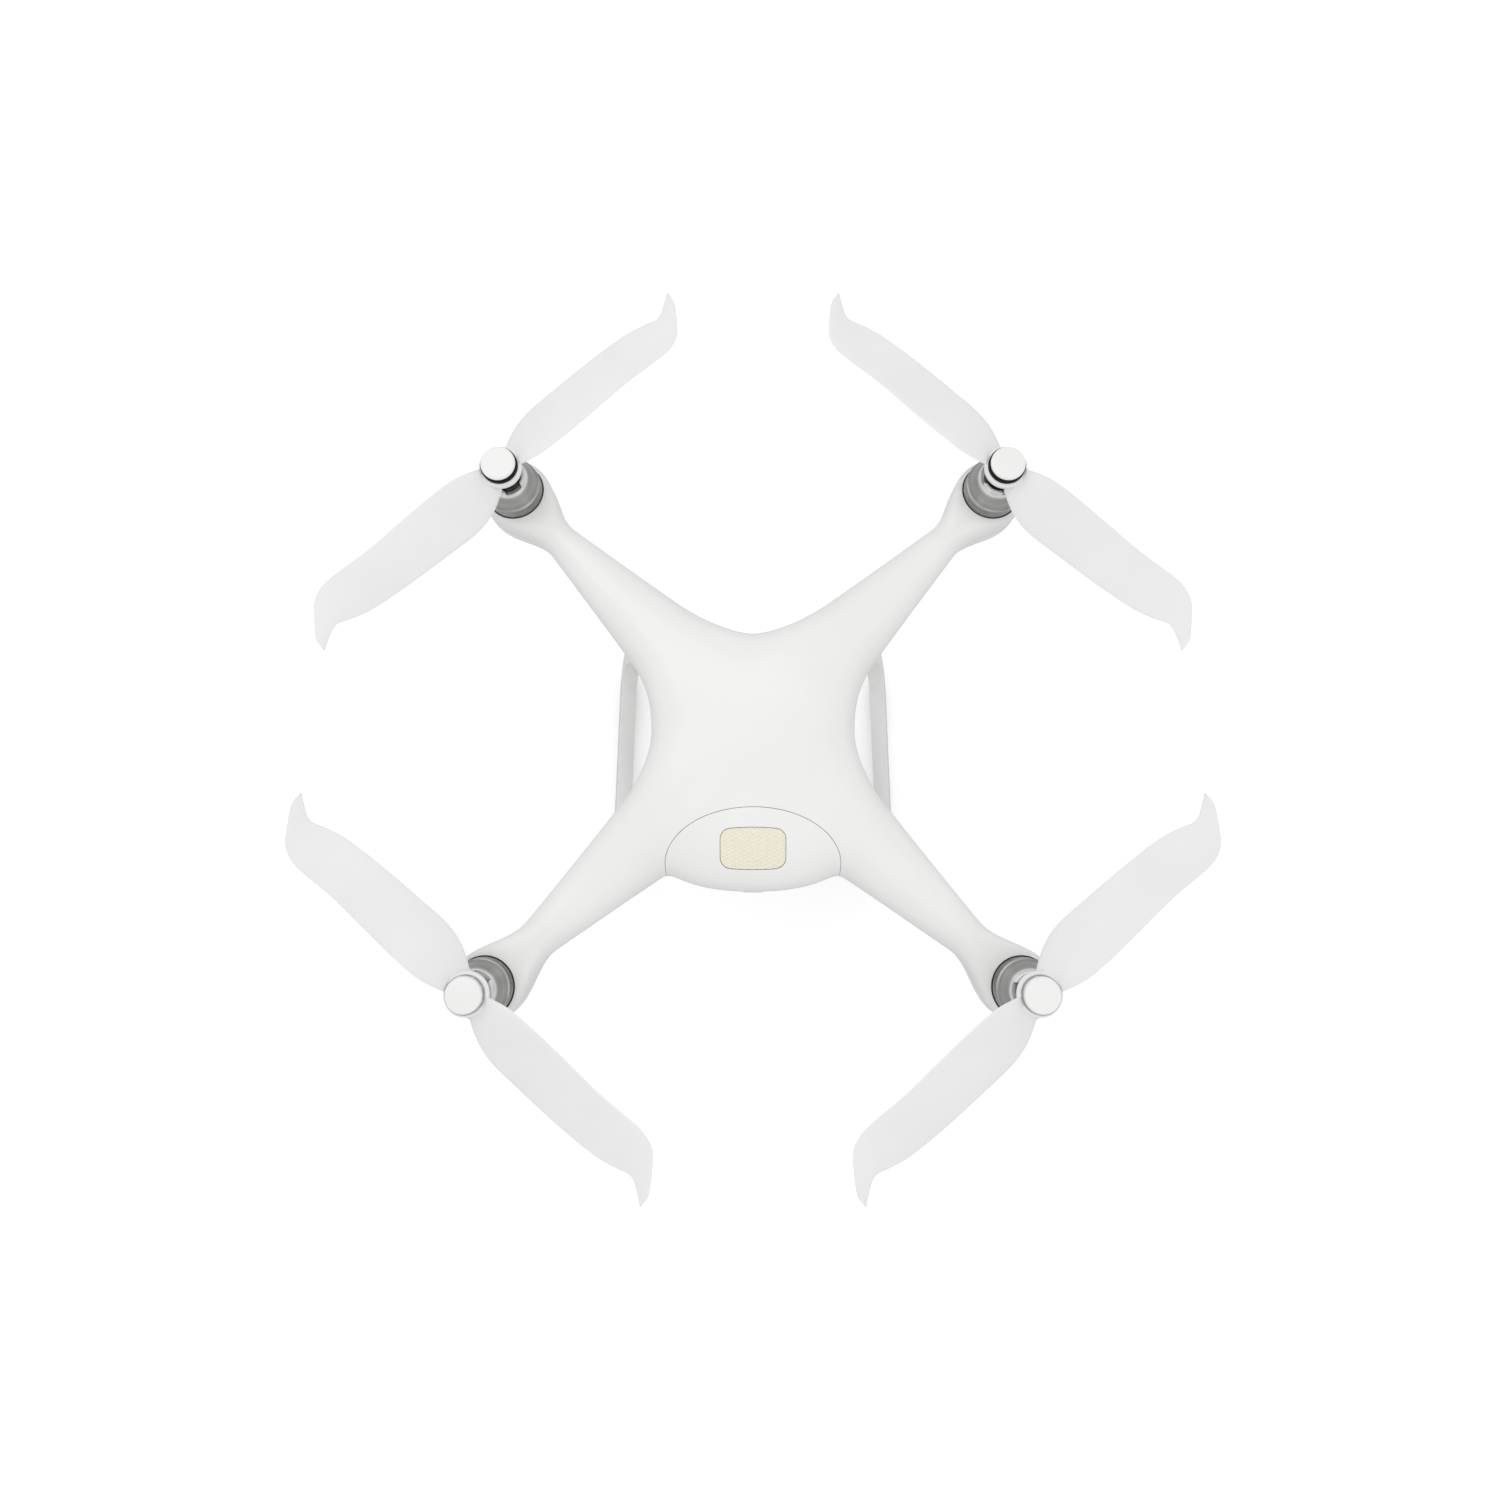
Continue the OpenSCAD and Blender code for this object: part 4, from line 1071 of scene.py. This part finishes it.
# Start and size of the fine teeth round the bell
KNURL_LOW = POD_TOP + 0.9
KNURL_TEETH, KNURL_DEPTH = 90, 0.3
# Radius of the marker ring, and how much smaller the cap on it is
RING_R, CAP_INSET = 8.8, 0.6
# Height of the cap's rim, and radius of the stem under it
CAP_RIM, CAP_STEM_R = 1.8, 6


def bell_profile(low, top):
    """Section of a bell, and which of its points carry the knurling."""
    lid = top - LOCK_RING_T
    side = BELL_R - KNURL_DEPTH / 2
    shoulder = BELL_SHOULDER
    inside = [(SHAFT_R, lid - 6), (5, lid - 6), (5, lid - 3), (7.4, lid - 3),
              (BELL_INSIDE_R, shoulder - 1.6), (BELL_INSIDE_R, low)]
    wall = [(BELL_R - 0.15, low), (BELL_R, low + 0.15), (BELL_R, KNURL_LOW - 0.3), (side, KNURL_LOW),
            (side, shoulder - 1.9), (BELL_R, shoulder - 1.6), (BELL_R, shoulder - 0.75),
            (BELL_R - 0.08, shoulder - 0.5), (BELL_R - 0.25, shoulder - 0.32),
            (BELL_R - 0.45, shoulder - 0.25)]
    knurl = (len(inside) + 3, len(inside) + 4)
    cone = [(BELL_R - 0.75, shoulder - 0.1), (mix(BELL_R, LOCK_RING_R, 0.5), mix(shoulder, lid, 0.52)),
            (LOCK_RING_R + 1.1, lid - 1.6), (LOCK_RING_R + 0.5, lid - 0.6), (LOCK_RING_R + 0.12, lid + 0.1)]
    hollow = LOCK_RING_R - LOCK_RING_WALL
    ring = [(LOCK_RING_R, lid + 0.5), (LOCK_RING_R, top - 0.3), (LOCK_RING_R - 0.1, top - 0.08),
            (LOCK_RING_R - 0.3, top), (hollow + 0.3, top), (hollow, top - 0.3), (hollow, lid),
            (SHAFT_R, lid)]
    return inside + wall + cone + ring + inside[:1], knurl


def lock_slot(low, degrees):
    """Tool for one of the round-cornered slots in a lock ring's side."""
    half_high = 3.0
    outline = rounded_rectangle(LOCK_SLOT_HALF, half_high, 1.1)
    slot = prism("slot", outline, LOCK_RING_R - 3, LOCK_RING_R + 3)
    lift = Matrix.Translation((0, 0, (low + half_high) * MM))
    slot.data.transform(lift @ Matrix.Rotation(math.pi / 2, 4, "Y") @ Matrix.Rotation(math.pi / 2, 4, "Z"))
    return turned(slot, degrees)


def bell(corner, materials):
    """Turning bell: knurled side, bright bead, coned brushed top and a slotted lock ring."""
    node = "bell_" + corner
    low, top = bottom_of(node), top_of(node)
    profile, knurl = bell_profile(low, top)

    def teeth(a, k):
        return KNURL_DEPTH / 2 * math.cos(KNURL_TEETH * a) if k in knurl else 0.0

    thing = lathe("motor_" + corner, profile, 4 * KNURL_TEETH, ripple=teeth)
    slot_low = top - LOCK_RING_T + LOCK_SLOT_FLOOR
    cut(thing, joined("slots", [lock_slot(slot_low, a) for a in LOCK_SLOT_ANGLES]))
    thing.location = (MOTOR[corner][0] * MM, MOTOR[corner][1] * MM, 0)
    return finish_piece(thing, materials, node, angle=math.radians(30))


def turned(thing, degrees):
    """Turns a piece round the upright axis."""
    thing.data.transform(Matrix.Rotation(math.radians(degrees), 4, "Z"))
    return thing


def cap_ring(corner, materials):
    """Marker ring between the propeller and its cap."""
    node = "cap_ring_" + corner
    low, high = bottom_of(node), top_of(node)
    r = RING_R
    profile = [(CAP_STEM_R, low), (r - 0.2, low), (r, low + 0.2), (r, high - 0.6), (r - 0.1, high - 0.3),
               (r - 0.25, high - 0.1), (r - 0.4, high), (CAP_STEM_R, high), (CAP_STEM_R, low)]
    place = (*MOTOR[corner], 0)
    return finish_piece(lathe("ring_" + corner, profile, 128, place), materials, node)


def hub_cap(corner, materials):
    """White disc on top of the propeller, gently domed."""
    node = "hub_cap_" + corner
    low, high = bottom_of(node), top_of(node)
    rim = high - CAP_RIM
    r = RING_R - CAP_INSET
    profile = [(0, low), (CAP_STEM_R, low), (CAP_STEM_R, rim), (r - 0.2, rim), (r, rim + 0.2),
               (r, high - 0.9), (r - 0.15, high - 0.55), (r - 0.5, high - 0.32), (r - 1.1, high - 0.2),
               (6.0, high - 0.12), (3.0, high - 0.02), (0, high)]
    place = (*MOTOR[corner], 0)
    return finish_piece(lathe("cap_" + corner, profile, 128, place), materials, node)


# --- Pieces refined from the CAD -----------------------------------------------------------

def refined(node, materials, width):
    """A CAD node's own shape with rounded edges and even shading."""
    thing = bpy.data.objects.new(node + "_skin", frame["nodes"][node].data.copy())
    bpy.context.scene.collection.objects.link(thing)
    b = bmesh.new()
    b.from_mesh(thing.data)
    bmesh.ops.remove_doubles(b, verts=b.verts, dist=2e-6)
    bmesh.ops.dissolve_limit(b, verts=b.verts, edges=b.edges, angle_limit=FLAT_ANGLE)
    bmesh.ops.recalc_face_normals(b, faces=b.faces)
    b.to_mesh(thing.data)
    b.free()
    if width:
        round_edges(thing, width)
    return finish_piece(thing, materials, node)


# How much the edges of each such piece are rounded
REFINED = {
    "left_skid": 3.4, "right_skid": 3.4, "skid_pads": 0.6,
    "front_light_covers": 0.5, "rear_light_covers": 0.5, "front_sensors": 0.25, "belly_sensors": 0.3,
    "gimbal_mount": 0.3, "gimbal_dampers": 0.25, "damper_plate": 0.4, "yaw_arm": 0.6, "roll_arm": 0.9,
    "camera_body": 0.8, "camera_lens": 0.1, "lens_ring": 0.3,
    "charge_lights": 0.1, "power_button": 0.5, "battery_case": 0.6, "battery_cells": 0.6,
    "battery_tray": 0.3,
    "main_board": 0.15, "power_board": 0.15, "gps_module": 0.15, "motor_wires": 0.0,
    "shell_screws": 0.2, "motor_screws": 0.2, "motor_bearings": 0.15,
}


def make_drone():
    """Every piece of the drone."""
    materials = make_materials()
    form = body_form()
    height = surface_heights(form)
    upper_shell(materials)
    lower_shell(materials)
    battery_cap(materials)
    release_pad("release_pad_top", height, materials)
    release_pad("release_pad_bottom", height, materials, top=False)
    bpy.data.objects.remove(form)
    for corner in CORNERS:
        bell(corner, materials)
        propeller(corner, materials)
        cap_ring(corner, materials)
        hub_cap(corner, materials)
        refined("prop_mount_" + corner, materials, 0.25)
        refined("shaft_" + corner, materials, 0.1)
        refined("stator_" + corner, materials, 0.1)
    for node, width in REFINED.items():
        refined(node, materials, width)


add_camera()
add_studio()
make_drone()
